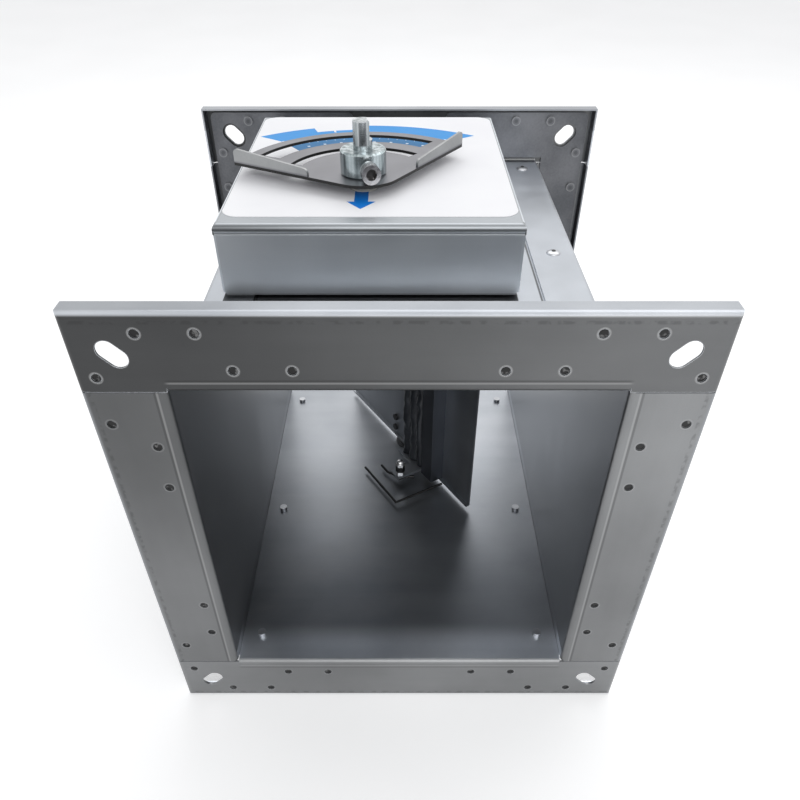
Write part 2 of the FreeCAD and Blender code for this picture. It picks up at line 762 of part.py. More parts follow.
seam_rivets = []
for i, (x, y) in enumerate(seam_rivet_spots):
    seam_rivets.append(rivet(f"top_seam_rivet_{i}", x, y, casing_top, ceiling_level,
                             rivet_tail_height))
    seam_rivets.append(rivet(f"bottom_seam_rivet_{i}", x, y, flange_height - casing_top,
                             floor_level, rivet_tail_height))
finish("seam_rivets", group("seam_rivets", seam_rivets))
finish("base_rivets", group("base_rivets", [
    rivet(f"base_rivet_{i}", x, y, base_top, ceiling_level, base_rivet_tail_height)
    for i, (x, y) in enumerate(base_rivet_spots)]))

# Mechanism base
# A plate with round feet pressed down to the casing, and four upturned tabs for the cover.
base = body("mechanism_base_sheet")
base_x = (box_left + wall + base_clearance, box_right - wall - base_clearance)
base_y = (box_front + wall + base_clearance, box_rear - wall - base_clearance)
pad(base, "XY", base_level, base_top, [[
    (base_x[0], base_y[0]), (base_x[1], base_y[0]), (base_x[1], base_y[1]), (base_x[0], base_y[1])]])
tab_middle = (box_front + box_rear) / 2
tab_places = [tab_middle - tab_spread / 2, tab_middle + tab_spread / 2]
for x0, x1 in ((base_x[0], base_x[0] + base_thickness), (base_x[1] - base_thickness, base_x[1])):
    pad(base, "YZ", x0, x1, [[
        (y - tab_width / 2, base_level), (y + tab_width / 2, base_level),
        (y + tab_width / 2, base_top + tab_height), (y - tab_width / 2, base_top + tab_height)]
        for y in tab_places])
pad(base, "XY", ceiling_level + wall, base_level,
    [(x, y, base_foot_radius) for x, y in base_rivet_spots])
bush_hole = spindle_radius + running_clearance + bush_wall
pocket(base, "XY", ceiling_level, base_top + overrun,
       [(x, y, rivet_hole) for x, y in base_rivet_spots]
       + [(pivot_x, pivot_y, bearing_hole), (setting_x, setting_y, bush_hole)])
head_room = rivet_head_radius + base_clearance
pocket(base, "XY", base_level - overrun, base_top + overrun, [
    (x, y, head_room) for x, y in seam_rivet_spots
    if base_x[0].value < x.value < base_x[1].value and base_y[0].value < y.value < base_y[1].value])
screw_level = base_top + cover_screw_rise
screw_hole = cover_screw_radius + rivet_clearance
screw_holes = [(y, screw_level, screw_hole) for y in tab_places]
pocket(base, "YZ", box_left - overrun, box_right + overrun, screw_holes)
finish("mechanism_base", base)

# Mechanism cover
# One folded sheet: the top and four walls, whose ends leave a narrow gap at each corner.
cover = body("mechanism_cover_sheet")


def box_outline(inset):
    """The cover's outline, moved in by an inset."""
    return [(box_left + inset, box_front + inset), (box_right - inset, box_front + inset),
            (box_right - inset, box_rear - inset), (box_left + inset, box_rear - inset)]


def round_cover(inset, radius):
    """Round the bends round the cover's top, outside or inside."""
    top = cover_top - inset
    names = edges_along(cover.Shape, "x", [(box_front + inset, top), (box_rear - inset, top)])
    names += edges_along(cover.Shape, "y", [(box_left + inset, top), (box_right - inset, top)])
    round_edges(cover, radius, names)


pad(cover, "XY", cover_bottom, cover_top, [box_outline(0)])
round_cover(0, box_bend)
pocket(cover, "XY", cover_bottom, cover_top - wall, [box_outline(wall)])
round_cover(wall, box_bend - wall)
corner_columns = [
    [(x, y), (x + sx * box_corner_gap, y), (x + sx * box_corner_gap, y + sy * box_corner_gap),
     (x, y + sy * box_corner_gap)]
    for x, sx in ((box_left, 1), (box_right, -1)) for y, sy in ((box_front, 1), (box_rear, -1))
]
pocket(cover, "XY", cover_bottom, cover_top - box_corner_web, corner_columns)
pocket(cover, "XY", cover_top - wall - overrun, cover_top + overrun,
       [(setting_x, setting_y, bush_hole)])
pocket(cover, "YZ", box_left - overrun, box_right + overrun, screw_holes)
finish("mechanism_cover", cover)

# Cover screws
# Pan head screws through the cover's side walls into the tabs of the base.
cover_screws = []
for i, y in enumerate(tab_places):
    for side, face in ((-1, box_left), (1, box_right)):
        span = sorted((face, face - side * cover_screw_length), key=lambda v: v.value)
        shank = rod(f"cover_screw_{i}_{side + 1}_shank", cover_screw_radius, *span,
                    (y, screw_level), "x")
        span = sorted((face, face + side * cover_screw_head_height), key=lambda v: v.value)
        head = rod(f"cover_screw_{i}_{side + 1}_head", cover_screw_head_radius, *span,
                   (y, screw_level), "x")
        cover_screws.append(fuse(f"cover_screw_{i}_{side + 1}", shank, head))
finish("cover_screws", group("cover_screws", cover_screws))

# Scale label
# A plastic sheet with rounded corners, stuck on the cover.
label = body("scale_label_sheet")
label_x = (box_left + label_side, box_right - label_side)
label_y = (box_front + label_front, box_rear - label_rear)
label_corners = [(x, y) for x in label_x for y in label_y]
pad(label, "XY", cover_top, label_top, [[
    (label_x[0], label_y[0]), (label_x[1], label_y[0]),
    (label_x[1], label_y[1]), (label_x[0], label_y[1])]])
round_edges(label, label_corner, edges_along(label.Shape, "z", label_corners))
pocket(label, "XY", cover_top - overrun, label_top + overrun,
       [(setting_x, setting_y, bush_hole + label_hole_gap)])
finish("scale_label", label)

# Bushes and bearings
# Turned plastic bushes: two for the setting spindle, two for the blade shaft.


def bush(name, bore, neck, neck_span, flange_radius, flange_span, spot):
    """A flanged bush on an upright axis."""
    neck_part = rod(f"{name}_neck", neck, *neck_span, spot)
    flange = rod(f"{name}_flange", flange_radius, *flange_span, spot)
    low = min(neck_span[0], flange_span[0], key=lambda level: level.value)
    high = max(neck_span[1], flange_span[1], key=lambda level: level.value)
    hole = rod(f"{name}_bore", bore, low - overrun, high + overrun, spot)
    return finish(name, cut(name, fuse(f"{name}_body", neck_part, flange), hole))


setting_spot = (setting_x, setting_y)
pivot_spot = (pivot_x, pivot_y)
spindle_bore = spindle_radius + running_clearance
shaft_bore = shaft_radius + running_clearance
bush("setting_bush_lower", spindle_bore, bush_hole - rivet_clearance, (base_level, base_top),
     bush_flange_radius, (base_top, base_top + bush_flange_height), setting_spot)
bush("setting_bush_upper", spindle_bore, bush_hole - rivet_clearance,
     (cover_top - wall, cover_top + bush_rise),
     bush_flange_radius, (cover_top - wall - bush_flange_height, cover_top - wall), setting_spot)
bush("blade_bearing_upper", shaft_bore, bearing_hole - rivet_clearance, (ceiling_level, base_top),
     bearing_flange_radius, (ceiling_level - bearing_flange_height, ceiling_level), pivot_spot)
bush("blade_bearing_lower", shaft_bore, bearing_hole - rivet_clearance,
     (floor_level - wall, floor_level),
     bearing_flange_radius, (floor_level, floor_level + bearing_flange_height), pivot_spot)

# Stop pegs
# Two pegs on the base that catch the cam's stop arm at the ends of the blade's travel.


def peg_spot(angle):
    """A place on the pegs' circle about the blade shaft."""
    return (pivot_x + stop_peg_circle * cosine(angle), pivot_y + stop_peg_circle * sine(angle))


peg_top = base_top + cam_rise + cam_thickness + stop_peg_rise
pegs = [rod(f"stop_peg_{tag}", stop_peg_radius, base_top, peg_top, peg_spot(angle))
        for tag, angle in (("open", stop_arm_angle - stop_open_angle),
                           ("closed", stop_arm_angle + stop_closed_angle))]
finish("stop_pegs", group("stop_pegs", pegs))

# Setting spindle
# It carries the pointer, the hub and the spring lever; a flat is milled on its top end.
spindle_end = cover_top + spindle_top
spindle_rod = rod("spindle_rod", spindle_radius, base_level + spindle_foot, spindle_end)
flat = block("spindle_flat", (spindle_radius - spindle_flat_depth, spindle_radius + overrun),
             (-spindle_radius - overrun, spindle_radius + overrun),
             (spindle_end - spindle_flat_length, spindle_end + overrun))
spindle = cut("setting_spindle", spindle_rod, flat)
finish("setting_spindle", place(spindle, setting_x, setting_y, 0, setting_angle))

# Pointer
# A flat sheet fan with two windows, whose straight sides are folded up as two wings.
sector = doc.addObject("Part::Cylinder", "pointer_sector")
bind(sector, {"Radius": pointer_apex + rim_outer + overrun, "Height": pointer_thickness,
              "Angle": 2 * pointer_half_angle})
place(sector, 0, -pointer_apex, pointer_bottom, 90 - pointer_half_angle)
doc.recompute()
nose = doc.addObject("Part::Fillet", "pointer_nose")
nose.Base = sector
apex_edges = edges_along(sector.Shape, "z", [(0, -pointer_apex)])
nose.Edges = [(int(edge[4:]), pointer_nose_radius.value, pointer_nose_radius.value)
              for edge in apex_edges]
disc = rod("pointer_disc", rim_outer, pointer_bottom, pointer_top)
fan = doc.addObject("Part::Common", "pointer_fan")
fan.Base = nose
fan.Tool = disc


def window(name, outer, inner, half_angle):
    """A window between two arcs about the spindle."""
    piece = doc.addObject("Part::Cylinder", f"{name}_outer")
    bind(piece, {"Radius": outer, "Height": pointer_thickness + 2 * overrun,
                 "Angle": 2 * half_angle})
    place(piece, 0, 0, pointer_bottom - overrun, 90 - half_angle)
    core = rod(f"{name}_inner", inner, pointer_bottom - 2 * overrun, pointer_top + 2 * overrun)
    return cut(name, piece, core)


spindle_seat = rod("pointer_hole", spindle_bore, pointer_bottom - overrun, pointer_top + overrun)
fan_cut = cut("pointer_sheet", fan,
              window("outer_window", rim_inner, band_outer, outer_window_angle),
              window("inner_window", band_inner, centre_outer, inner_window_angle), spindle_seat)


def wing(name, side):
    """A wing along one straight side of the fan, its height rising towards the tip."""
    flap = body(f"{name}_flap")
    outline = [(0, pointer_bottom), (wing_length, pointer_bottom),
               (wing_length, pointer_bottom + wing_height_outer),
               (0, pointer_bottom + wing_height_inner)]
    low, high = (0, pointer_thickness) if side > 0 else (-pointer_thickness, 0)
    pad(flap, "XZ", low, high, [outline])
    upper = edges_along(flap.Shape, "y", [outline[2], outline[3]])
    round_edges(flap, wing_corner, upper)
    turn = 90 - side * pointer_half_angle
    place(flap, side * wing_start * sine(pointer_half_angle),
          wing_start * cosine(pointer_half_angle) - pointer_apex, 0, turn)
    return flap


pointer = fuse("pointer_plate", fan_cut, wing("right_wing", 1), wing("left_wing", -1))
finish("pointer_plate", place(pointer, setting_x, setting_y, 0, setting_angle))

# Pointer hub and its clamp screw
# A turned collar on the spindle; the socket head screw points away from the fan.
hub_top = pointer_top + hub_height
screw_height = pointer_top + clamp_screw_rise
hub = body("pointer_hub_turned")
pad(hub, "XY", pointer_top, hub_top, [(0, 0, hub_radius)])
rims = [f"Edge{i}" for i, edge in enumerate(hub.Shape.Edges, 1)
        if not isinstance(edge.Curve, Part.Line)]
round_edges(hub, hub_chamfer, rims, "Chamfer")
pocket(hub, "XY", pointer_top - overrun, hub_top + overrun, [(0, 0, spindle_bore)])
pocket(hub, "XZ", -hub_radius - overrun, 0,
       [(0, screw_height, clamp_screw_radius + running_clearance)])
finish("pointer_hub", place(hub, setting_x, setting_y, 0, setting_angle))

clamp_tip = -spindle_radius - clamp_tip_gap
clamp_face = -hub_radius - clamp_neck
clamp_end = clamp_face - clamp_head_length
clamp_shank = rod("clamp_shank", clamp_screw_radius, clamp_face, clamp_tip, (0, screw_height), "y")
clamp_head = rod("clamp_head", clamp_head_radius, clamp_end, clamp_face, (0, screw_height), "y")
socket = doc.addObject("Part::Prism", "clamp_socket")
bind(socket, {"Circumradius": clamp_socket_radius, "Height": clamp_socket_depth + overrun})
socket.Polygon = 6
place(socket, 0, clamp_end - overrun, screw_height)
socket.Placement = FreeCAD.Placement(socket.Placement.Base, AXES["y"])
clamp = cut("clamp_screw", fuse("clamp_blank", clamp_shank, clamp_head), socket)
finish("clamp_screw", place(clamp, setting_x, setting_y, 0, setting_angle))

# Spring lever and leaf spring
# A lever on the spindle's lower end; the leaf spring on it bears on the cam's edge.
lever_level = base_top + lever_rise
cam_level = base_top + cam_rise
reach_x = pivot_x - setting_x
reach_y = pivot_y - setting_y
reach_angle = Size(math.degrees(math.atan2(reach_y.value, reach_x.value)),
                   f"(atan2({reach_y.text}; {reach_x.text}) / 1 deg)")
lever_arm = block("lever_arm", (0, lever_length), (-lever_width / 2, lever_width / 2),
                  (lever_level, lever_level + lever_thickness))
lever_boss = rod("lever_boss", lever_boss_radius, lever_level, lever_level + lever_boss_height)
post_start = lever_length - lever_post_length
post = block("lever_spring_post", (post_start, lever_length), (-lever_width / 2, 0),
             (lever_level, lever_level + lever_post))
lever = cut("spring_lever", fuse("lever_blank", lever_arm, lever_boss, post),
            rod("lever_bore", spindle_bore, lever_level - overrun,
                lever_level + lever_boss_height + overrun))
finish("spring_lever", place(lever, setting_x, setting_y, 0, reach_angle))

apart = Size(math.hypot(reach_x.value, reach_y.value),
             f"sqrt({reach_x.text}^2 + {reach_y.text}^2)")
eccentric_x = cam_offset * cosine(reach_angle - cam_direction)
spring_tip = apart + eccentric_x - cam_radius - spring_tip_gap
spring_level = cam_level + cam_thickness / 2
spring = block("leaf_spring", (post_start, spring_tip), (0, spring_thickness),
               (spring_level - spring_width / 2, spring_level + spring_width / 2))
spring_blank = group("leaf_spring_strip", [spring])
finish("leaf_spring", place(spring_blank, setting_x, setting_y, 0, reach_angle))

# Blade shaft
# A plain bar through both bearings, the blade's straps and the cam.
shaft_start = floor_level - wall + shaft_foot
shaft_end = base_top + shaft_top
shaft = rod("blade_shaft", shaft_radius, shaft_start, shaft_end)
finish("blade_shaft", place(group("blade_shaft_bar", [shaft]), pivot_x, pivot_y, 0, blade_angle))


def on_blade(name, obj):
    """Place a piece that was modelled in the blade's own frame."""
    return finish(name, place(obj, pivot_x, pivot_y, 0, blade_angle))


# Damper blade
# One sheet in front of the shaft, with a short lip along its top and bottom edges.
blade_back = -shaft_bore
blade_face = blade_back - wall
lip_front = blade_back - blade_lip
blade = body("damper_blade_sheet")
pad(blade, "YZ", -blade_far_width, blade_near_width, [[
    (lip_front, blade_bottom), (blade_back, blade_bottom), (blade_back, blade_top),
    (lip_front, blade_top), (lip_front, blade_top - wall), (blade_face, blade_top - wall),
    (blade_face, blade_bottom + wall), (lip_front, blade_bottom + wall)]])
round_edges(blade, blade_bend,
            edges_along(blade.Shape, "x", [(blade_back, blade_bottom), (blade_back, blade_top)]))
strap_levels = [blade_bottom + strap_rise, middle_level, blade_top - strap_rise]
bellows_middle = (bellows_start + bellows_end) / 2
pressure_levels = [(strap_levels[0] + middle_level) / 2, (strap_levels[2] + middle_level) / 2]
strap_screw_hole = strap_screw_radius + rivet_clearance
strap_screw_spots = [
    [(side * strap_screw_offset, level + row * strap_screw_pitch / 2)
     for side in (-1, 1) for row in (-1, 1)] for level in strap_levels]
blade_holes = [(x, z, strap_screw_hole) for spots in strap_screw_spots for x, z in spots]
blade_holes += [(bellows_middle, level, pressure_hole_radius) for level in pressure_levels]
pocket(blade, "XZ", lip_front, blade_back + overrun, blade_holes)
on_blade("damper_blade", blade)

# Shaft straps and their screws
# Three saddles clamp the blade sheet to the shaft, each with four screws from the front.
straps, strap_screws = [], []
strap_outer = shaft_bore + strap_thickness
foot_half = strap_outer + strap_foot
foot_face = blade_back + strap_thickness
for i, (level, spots) in enumerate(zip(strap_levels, strap_screw_spots)):
    span = (level - strap_height / 2, level + strap_height / 2)
    past = (span[0] - overrun, span[1] + overrun)
    saddle = rod(f"strap_{i}_saddle", strap_outer, *span)
    sides = block(f"strap_{i}_sides", (-strap_outer, strap_outer), (blade_back, 0), span)
    feet = block(f"strap_{i}_feet", (-foot_half, foot_half), (blade_back, foot_face), span)
    bore = rod(f"strap_{i}_bore", shaft_bore, *past)
    sheet_side = block(f"strap_{i}_sheet_side", (-foot_half - overrun, foot_half + overrun),
                       (-strap_outer - overrun, blade_back), past)
    throat = block(f"strap_{i}_throat", (-shaft_bore, shaft_bore), (blade_back, 0), past)
    holes = [rod(f"strap_{i}_hole_{j}", strap_screw_hole, -strap_outer - overrun, 0, spot, "y")
             for j, spot in enumerate(spots)]
    straps.append(cut(f"strap_{i}", fuse(f"strap_{i}_blank", saddle, sides, feet),
                      bore, sheet_side, throat, *holes))
    for j, spot in enumerate(spots):
        tip = rod(f"strap_screw_{i}_{j}_tip", strap_screw_radius, blade_face,
                  foot_face + strap_screw_tip, spot, "y")
        head = rod(f"strap_screw_{i}_{j}_head", strap_screw_head_radius,
                   blade_face - strap_screw_head_height, blade_face, spot, "y")
        strap_screws.append(fuse(f"strap_screw_{i}_{j}", tip, head))
on_blade("shaft_straps", group("shaft_straps", straps))
on_blade("strap_screws", group("strap_screws", strap_screws))

# Bellows, its rail and its end plates
# The bellows fills from the pressure holes and damps the blade; it stays a plain block here.
plate_low = (blade_bottom + plate_rise, blade_bottom + plate_rise + plate_thickness)
plate_high = (blade_top - plate_rise - plate_thickness, blade_top - plate_rise)


def out(distance):
    """A distance in front of the blade's face, in the blade's own frame."""
    return blade_face - distance


bellows = block("bellows_block", (bellows_start, bellows_end), (out(bellows_depth), out(0)),
                (plate_low[1], plate_high[0]))
on_blade("bellows", group("bellows_solid", [bellows]))

rail = body("bellows_rail_sheet")
rail_start = bellows_end + rail_gap
pad(rail, "XY", blade_bottom + wall + rail_gap, blade_top - wall - rail_gap, [[
    (rail_start, out(0)), (rail_start, out(rail_depth)), (rail_end, out(rail_depth)),
    (rail_end, out(0)), (rail_end - wall, out(0)), (rail_end - wall, out(rail_depth - wall)),
    (rail_start + wall, out(rail_depth - wall)), (rail_start + wall, out(0))]])
on_blade("bellows_rail", rail)

stud_spot = (stud_along, out(stud_out))
plates = []
for tag, span in (("lower", plate_low), ("upper", plate_high)):
    plate = block(f"end_plate_{tag}_sheet", (bellows_start, bellows_end),
                  (out(plate_depth), out(0)), span)
    tab = block(f"end_plate_{tag}_tab",
                (stud_along - plate_tab_width / 2, stud_along + plate_tab_width / 2),
                (out(plate_tab_depth), out(plate_depth - overrun)), span)
    hole = rod(f"end_plate_{tag}_hole", stud_radius + running_clearance,
               span[0] - overrun, span[1] + overrun, stud_spot)
    plates.append(cut(f"end_plate_{tag}", fuse(f"end_plate_{tag}_blank", plate, tab), hole))
on_blade("bellows_end_plates", group("bellows_end_plates", plates))

# Stud, nuts and hook wire
# A stud through the lower plate's tab, with a domed nut on top and the hook wire under it.
wire_level = blade_bottom + wire_radius - wire_drop
stud_top = plate_low[1] + nut_height + stud_rise
stud = group("bellows_stud", [
    rod("stud_bar", stud_radius, wire_level - wire_radius, stud_top, stud_spot)])
on_blade("bellows_stud", stud)
nut_blank = doc.addObject("Part::Prism", "dome_nut_hex")
bind(nut_blank, {"Circumradius": nut_radius, "Height": nut_height})
nut_blank.Polygon = 6
place(nut_blank, *stud_spot, plate_low[1])
dome = doc.addObject("Part::Sphere", "dome_nut_dome")
bind(dome, {"Radius": nut_dome_radius})
dome.Angle1 = 0
place(dome, *stud_spot, plate_low[1] + nut_height)
nut_bore = rod("dome_nut_bore", stud_radius + running_clearance, plate_low[1] - overrun,
               stud_top + nut_bore_gap, stud_spot)
on_blade("dome_nut", cut("dome_nut", fuse("dome_nut_blank", nut_blank, dome), nut_bore))


def wire(name, points, level):
    """A thin wire bent in a flat run: straight bars with a ball at each bend."""
    pieces = []
    for i, (start, stop) in enumerate(zip(points, points[1:])):
        (x0, y0), (x1, y1) = start, stop
        run = Size(math.hypot((x1 - x0).value, (y1 - y0).value),
                   f"sqrt(({(x1 - x0).text})^2 + ({(y1 - y0).text})^2)")
        bar = doc.addObject("Part::Cylinder", f"{name}_bar_{i}")
        bind(bar, {"Radius": wire_radius, "Height": run})
        heading = math.degrees(math.atan2((y1 - y0).value, (x1 - x0).value))
        place(bar, x0, y0, level)
        bar.Placement = FreeCAD.Placement(
            bar.Placement.Base,
            FreeCAD.Rotation(FreeCAD.Vector(0, 0, 1), heading).multiply(AXES["x"]))
        pieces.append(bar)
    for i, (x, y) in enumerate(points[1:-1]):
        ball = doc.addObject("Part::Sphere", f"{name}_ball_{i}")
        bind(ball, {"Radius": wire_radius})
        place(ball, x, y, level)
        pieces.append(ball)
    return fuse(name, *pieces)


frame_wire_points = [
    (frame_wire_along, out(blade_lip)),
    (frame_wire_along, out(frame_wire_out)),
    (frame_wire_end, out(frame_wire_out)),
]
on_blade("bellows_wire", wire("bellows_wire", frame_wire_points, wire_level))

hook_radius = stud_radius + wire_radius + running_clearance
hook_points = [
    (stud_along - hook_reach, out(stud_out + hook_radius + hook_loop)),
    (stud_along - hook_reach / 2, out(stud_out + hook_radius + hook_loop)),
    (stud_along - hook_radius, out(stud_out + hook_radius)),
    (stud_along + hook_radius, out(stud_out + hook_radius)),
    (stud_along + hook_radius, out(stud_out - hook_radius)),
    (stud_along + hook_radius + hook_loop, out(stud_out - hook_radius - 2 * hook_loop)),
]
on_blade("hook_wire", wire("hook_wire", hook_points, wire_level))

# Shaft collar
# It carries the blade's weight on the lower bearing.
collar_low = floor_level + bearing_flange_height + collar_gap
on_blade("shaft_collar", ring("shaft_collar", collar_radius, shaft_bore, collar_low,
                              collar_low + collar_height))

# Cam, its hub and screw, and the retaining ring
# The cam disc is set off centre; its stop arm meets the pegs on the base.
cam_disc_blank = rod("cam_disc_blank", cam_radius, cam_level, cam_level + cam_thickness,
                     (cam_offset * cosine(cam_direction), cam_offset * sine(cam_direction)))
stop_arm = block("cam_stop_arm", (0, stop_arm_length), (-stop_arm_width / 2, stop_arm_width / 2),
                 (cam_level, cam_level + cam_thickness))
stop_arm_turned = group("cam_stop_arm_turned", [stop_arm])
place(stop_arm_turned, 0, 0, 0, stop_arm_angle)
cam_bore = rod("cam_bore", shaft_bore, cam_level - overrun, cam_level + cam_thickness + overrun)
cam = cut("cam_disc", fuse("cam_blank", cam_disc_blank, stop_arm_turned), cam_bore)
finish("cam_disc", place(cam, pivot_x, pivot_y))

cam_hub_low = cam_level + cam_thickness
cam_hub_top = cam_hub_low + cam_hub_height
cam_screw_level = (cam_hub_low + cam_hub_top) / 2
cam_screw_hole = rod("cam_screw_hole", cam_screw_radius + running_clearance, 0,
                     cam_hub_radius + overrun, (0, cam_screw_level), "y")
cam_hub = cut("cam_hub", rod("cam_hub_blank", cam_hub_radius, cam_hub_low, cam_hub_top),
              rod("cam_hub_bore", shaft_bore, cam_hub_low - overrun, cam_hub_top + overrun),
              cam_screw_hole)
finish("cam_hub", place(cam_hub, pivot_x, pivot_y))
cam_screw = group("cam_set_screw", [
    rod("cam_screw_bar", cam_screw_radius, shaft_radius + cam_screw_gap,
        cam_hub_radius + cam_screw_rise, (0, cam_screw_level), "y")])
finish("cam_set_screw", place(cam_screw, pivot_x, pivot_y))
ring_low = base_top + collar_gap
finish("shaft_retaining_ring",
       place(ring("shaft_retaining_ring", retaining_ring_radius, shaft_bore, ring_low,
                  ring_low + retaining_ring_height), pivot_x, pivot_y))

doc.recompute()

for obj in doc.Objects:
    if "Invalid" in obj.State or "Error" in obj.State:
        raise RuntimeError(f"{obj.Label} did not rebuild: {obj.State}")

for name, obj in nodes.items():
    shape = obj.Shape
    if shape.isNull() or not shape.isValid():
        raise RuntimeError(f"{name} has no valid shape")
    shape.exportStep(f"parts/{name}.step")
print(len(nodes), "sub-parts")
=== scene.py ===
import math

import bmesh
import bpy
from mathutils import Matrix, Vector, noise


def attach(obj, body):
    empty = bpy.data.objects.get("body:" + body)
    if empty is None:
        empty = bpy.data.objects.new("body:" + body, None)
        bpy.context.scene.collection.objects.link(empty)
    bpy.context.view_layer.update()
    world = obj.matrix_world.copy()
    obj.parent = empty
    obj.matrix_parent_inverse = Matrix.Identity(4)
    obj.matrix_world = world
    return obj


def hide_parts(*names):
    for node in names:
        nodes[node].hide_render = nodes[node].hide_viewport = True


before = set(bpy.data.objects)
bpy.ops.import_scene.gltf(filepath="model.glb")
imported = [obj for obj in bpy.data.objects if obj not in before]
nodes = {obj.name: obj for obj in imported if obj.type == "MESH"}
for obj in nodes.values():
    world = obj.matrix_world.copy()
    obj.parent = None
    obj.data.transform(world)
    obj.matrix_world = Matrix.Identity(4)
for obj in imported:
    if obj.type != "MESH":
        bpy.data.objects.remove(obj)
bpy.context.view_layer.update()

# Stage and camera
# A plain pale floor under soft studio lamps, in a white surround that the metal also reflects.
# The camera stands where the photograph was taken: close, in front, looking down into the duct.
scene = bpy.context.scene
scene.view_settings.view_transform = "Standard"


class Tone:
    """One socket of a node tree, with the operators that the finishes use."""

    def __init__(self, paint, socket):
        self.paint = paint
        self.socket = socket

    def maths(self, operation, first, second):
        return self.paint.node("ShaderNodeMath", {"operation": operation}, {0: first, 1: second})

    def __add__(self, other):
        return self.maths("ADD", self, other)

    def __radd__(self, other):
        return self.maths("ADD", other, self)

    def __sub__(self, other):
        return self.maths("SUBTRACT", self, other)

    def __rsub__(self, other):
        return self.maths("SUBTRACT", other, self)

    def __mul__(self, other):
        return self.maths("MULTIPLY", self, other)

    def __truediv__(self, other):
        return self.maths("DIVIDE", self, other)

    def __gt__(self, other):
        return self.maths("GREATER_THAN", self, other)

    def __lt__(self, other):
        return self.maths("LESS_THAN", self, other)

    def __abs__(self):
        return self.paint.node("ShaderNodeMath", {"operation": "ABSOLUTE"}, {0: self})


class Paint:
    """The node tree of one finish."""

    def __init__(self, name, tree=None):
        if tree is None:
            self.material = bpy.data.materials.new(name)
            self.material.use_nodes = True
            tree = self.material.node_tree
        self.tree = tree
        tree.nodes.clear()

    def node(self, kind, settings, sockets, output=0):
        made = self.tree.nodes.new(kind)
        for key, value in settings.items():
            setattr(made, key, value)
        for key, value in sockets.items():
            if isinstance(value, Tone):
                self.tree.links.new(value.socket, made.inputs[key])
            else:
                made.inputs[key].default_value = value
        return Tone(self, made.outputs[output]) if len(made.outputs) else made

    def place(self):
        return self.node("ShaderNodeTexCoord", {}, {}, "Object")

    def axes(self):
        """The x, y and z of the place, in metres."""
        split = self.node("ShaderNodeSeparateXYZ", {}, {0: self.place()})
        outputs = split.socket.node.outputs
        return [Tone(self, outputs[i]) for i in range(3)]

    def cloud(self, scale, stretch=(1, 1, 1), detail=3.0):
        """Soft noise about zero, its grains per metre set by the scale."""
        point = self.node("ShaderNodeMapping", {}, {"Vector": self.place(), "Scale": stretch})
        value = self.node("ShaderNodeTexNoise", {},
                          {"Vector": point, "Scale": scale, "Detail": detail})
        return value - 0.5

    def fade(self, value, low, high):
        """Nought below one value and one above the other, with a soft step between."""
        return self.node("ShaderNodeMapRange", {"interpolation_type": "SMOOTHSTEP"},
                         {"Value": value, "From Min": low, "From Max": high})

    def line(self, value, middle, inner, outer):
        """One where the value is within the inner distance of the middle, nought past the outer."""
        return 1 - self.fade(abs(value - middle), inner, outer)

    def mix(self, factor, first, second):
        return self.node("ShaderNodeMix", {"data_type": "RGBA"},
                         {0: factor, 6: first, 7: second}, 2)

    def scaled(self, colour, factor):
        """A colour made darker or lighter."""
        return self.node("ShaderNodeVectorMath", {"operation": "SCALE"},
                         {0: colour, "Scale": factor})

    def edge(self, width):
        """One on the sharp edges of the sheet, nought on its faces."""
        soft = self.node("ShaderNodeBevel", {"samples": 4}, {"Radius": width})
        true = self.node("ShaderNodeNewGeometry", {}, {}, "Normal")
        match = self.node("ShaderNodeVectorMath", {"operation": "DOT_PRODUCT"},
                          {0: soft, 1: true}, "Value")
        return self.fade(1 - match, 0.03, 0.22)

    def relief(self, height, distance):
        return self.node("ShaderNodeBump", {}, {"Height": height, "Distance": distance,
                                                "Strength": 1.0})

    def surface(self, **sockets):
        """Join the shader to the output and give the material."""
        names = {key.replace("_", " "): value for key, value in sockets.items()}
        shader = self.node("ShaderNodeBsdfPrincipled", {}, names)
        self.node("ShaderNodeOutputMaterial", {}, {"Surface": shader})
        return self.material


def grey(value, blue=0.0):
    """A neutral colour, a little towards blue."""
    return (value * (1 - blue), value, value * (1 + blue), 1.0)


def mirrored(paint):
    """One for the rays that show or mirror the surround, nought for the rays that light."""
    outputs = paint.node("ShaderNodeLightPath", {}, {}).socket.node.outputs
    camera_ray, glossy_ray, clear_ray = [Tone(paint, outputs[name]) for name in (
        "Is Camera Ray", "Is Glossy Ray", "Is Transmission Ray")]
    return camera_ray + glossy_ray + clear_ray


world = bpy.data.worlds.new("surround")
scene.world = world
world.use_nodes = True
sky = Paint("surround", world.node_tree)
shown = sky.node("ShaderNodeBackground", {}, {"Color": (1, 1, 1, 1), "Strength": 1.0})
lit = sky.node("ShaderNodeBackground", {}, {"Color": (0.97, 0.98, 1.0, 1), "Strength": 0.60})
chosen = sky.node("ShaderNodeMixShader", {}, {0: mirrored(sky), 1: lit, 2: shown})
sky.node("ShaderNodeOutputWorld", {}, {"Surface": chosen})

floor_mesh = bmesh.new()
bmesh.ops.create_circle(floor_mesh, cap_ends=True, segments=96, radius=3.5)
floor_data = bpy.data.meshes.new("studio_floor")
floor_mesh.to_mesh(floor_data)
floor_mesh.free()
floor = bpy.data.objects.new("studio_floor", floor_data)
scene.collection.objects.link(floor)
pale = Paint("studio_floor")
floor_data.materials.append(pale.surface(
    Base_Color=pale.mix(pale.fade(pale.cloud(6), -0.2, 0.2), grey(0.90), grey(0.93)),
    Roughness=0.9, Emission_Strength=1.0,
    Emission_Color=pale.mix(mirrored(pale), grey(0.0), grey(0.30))))


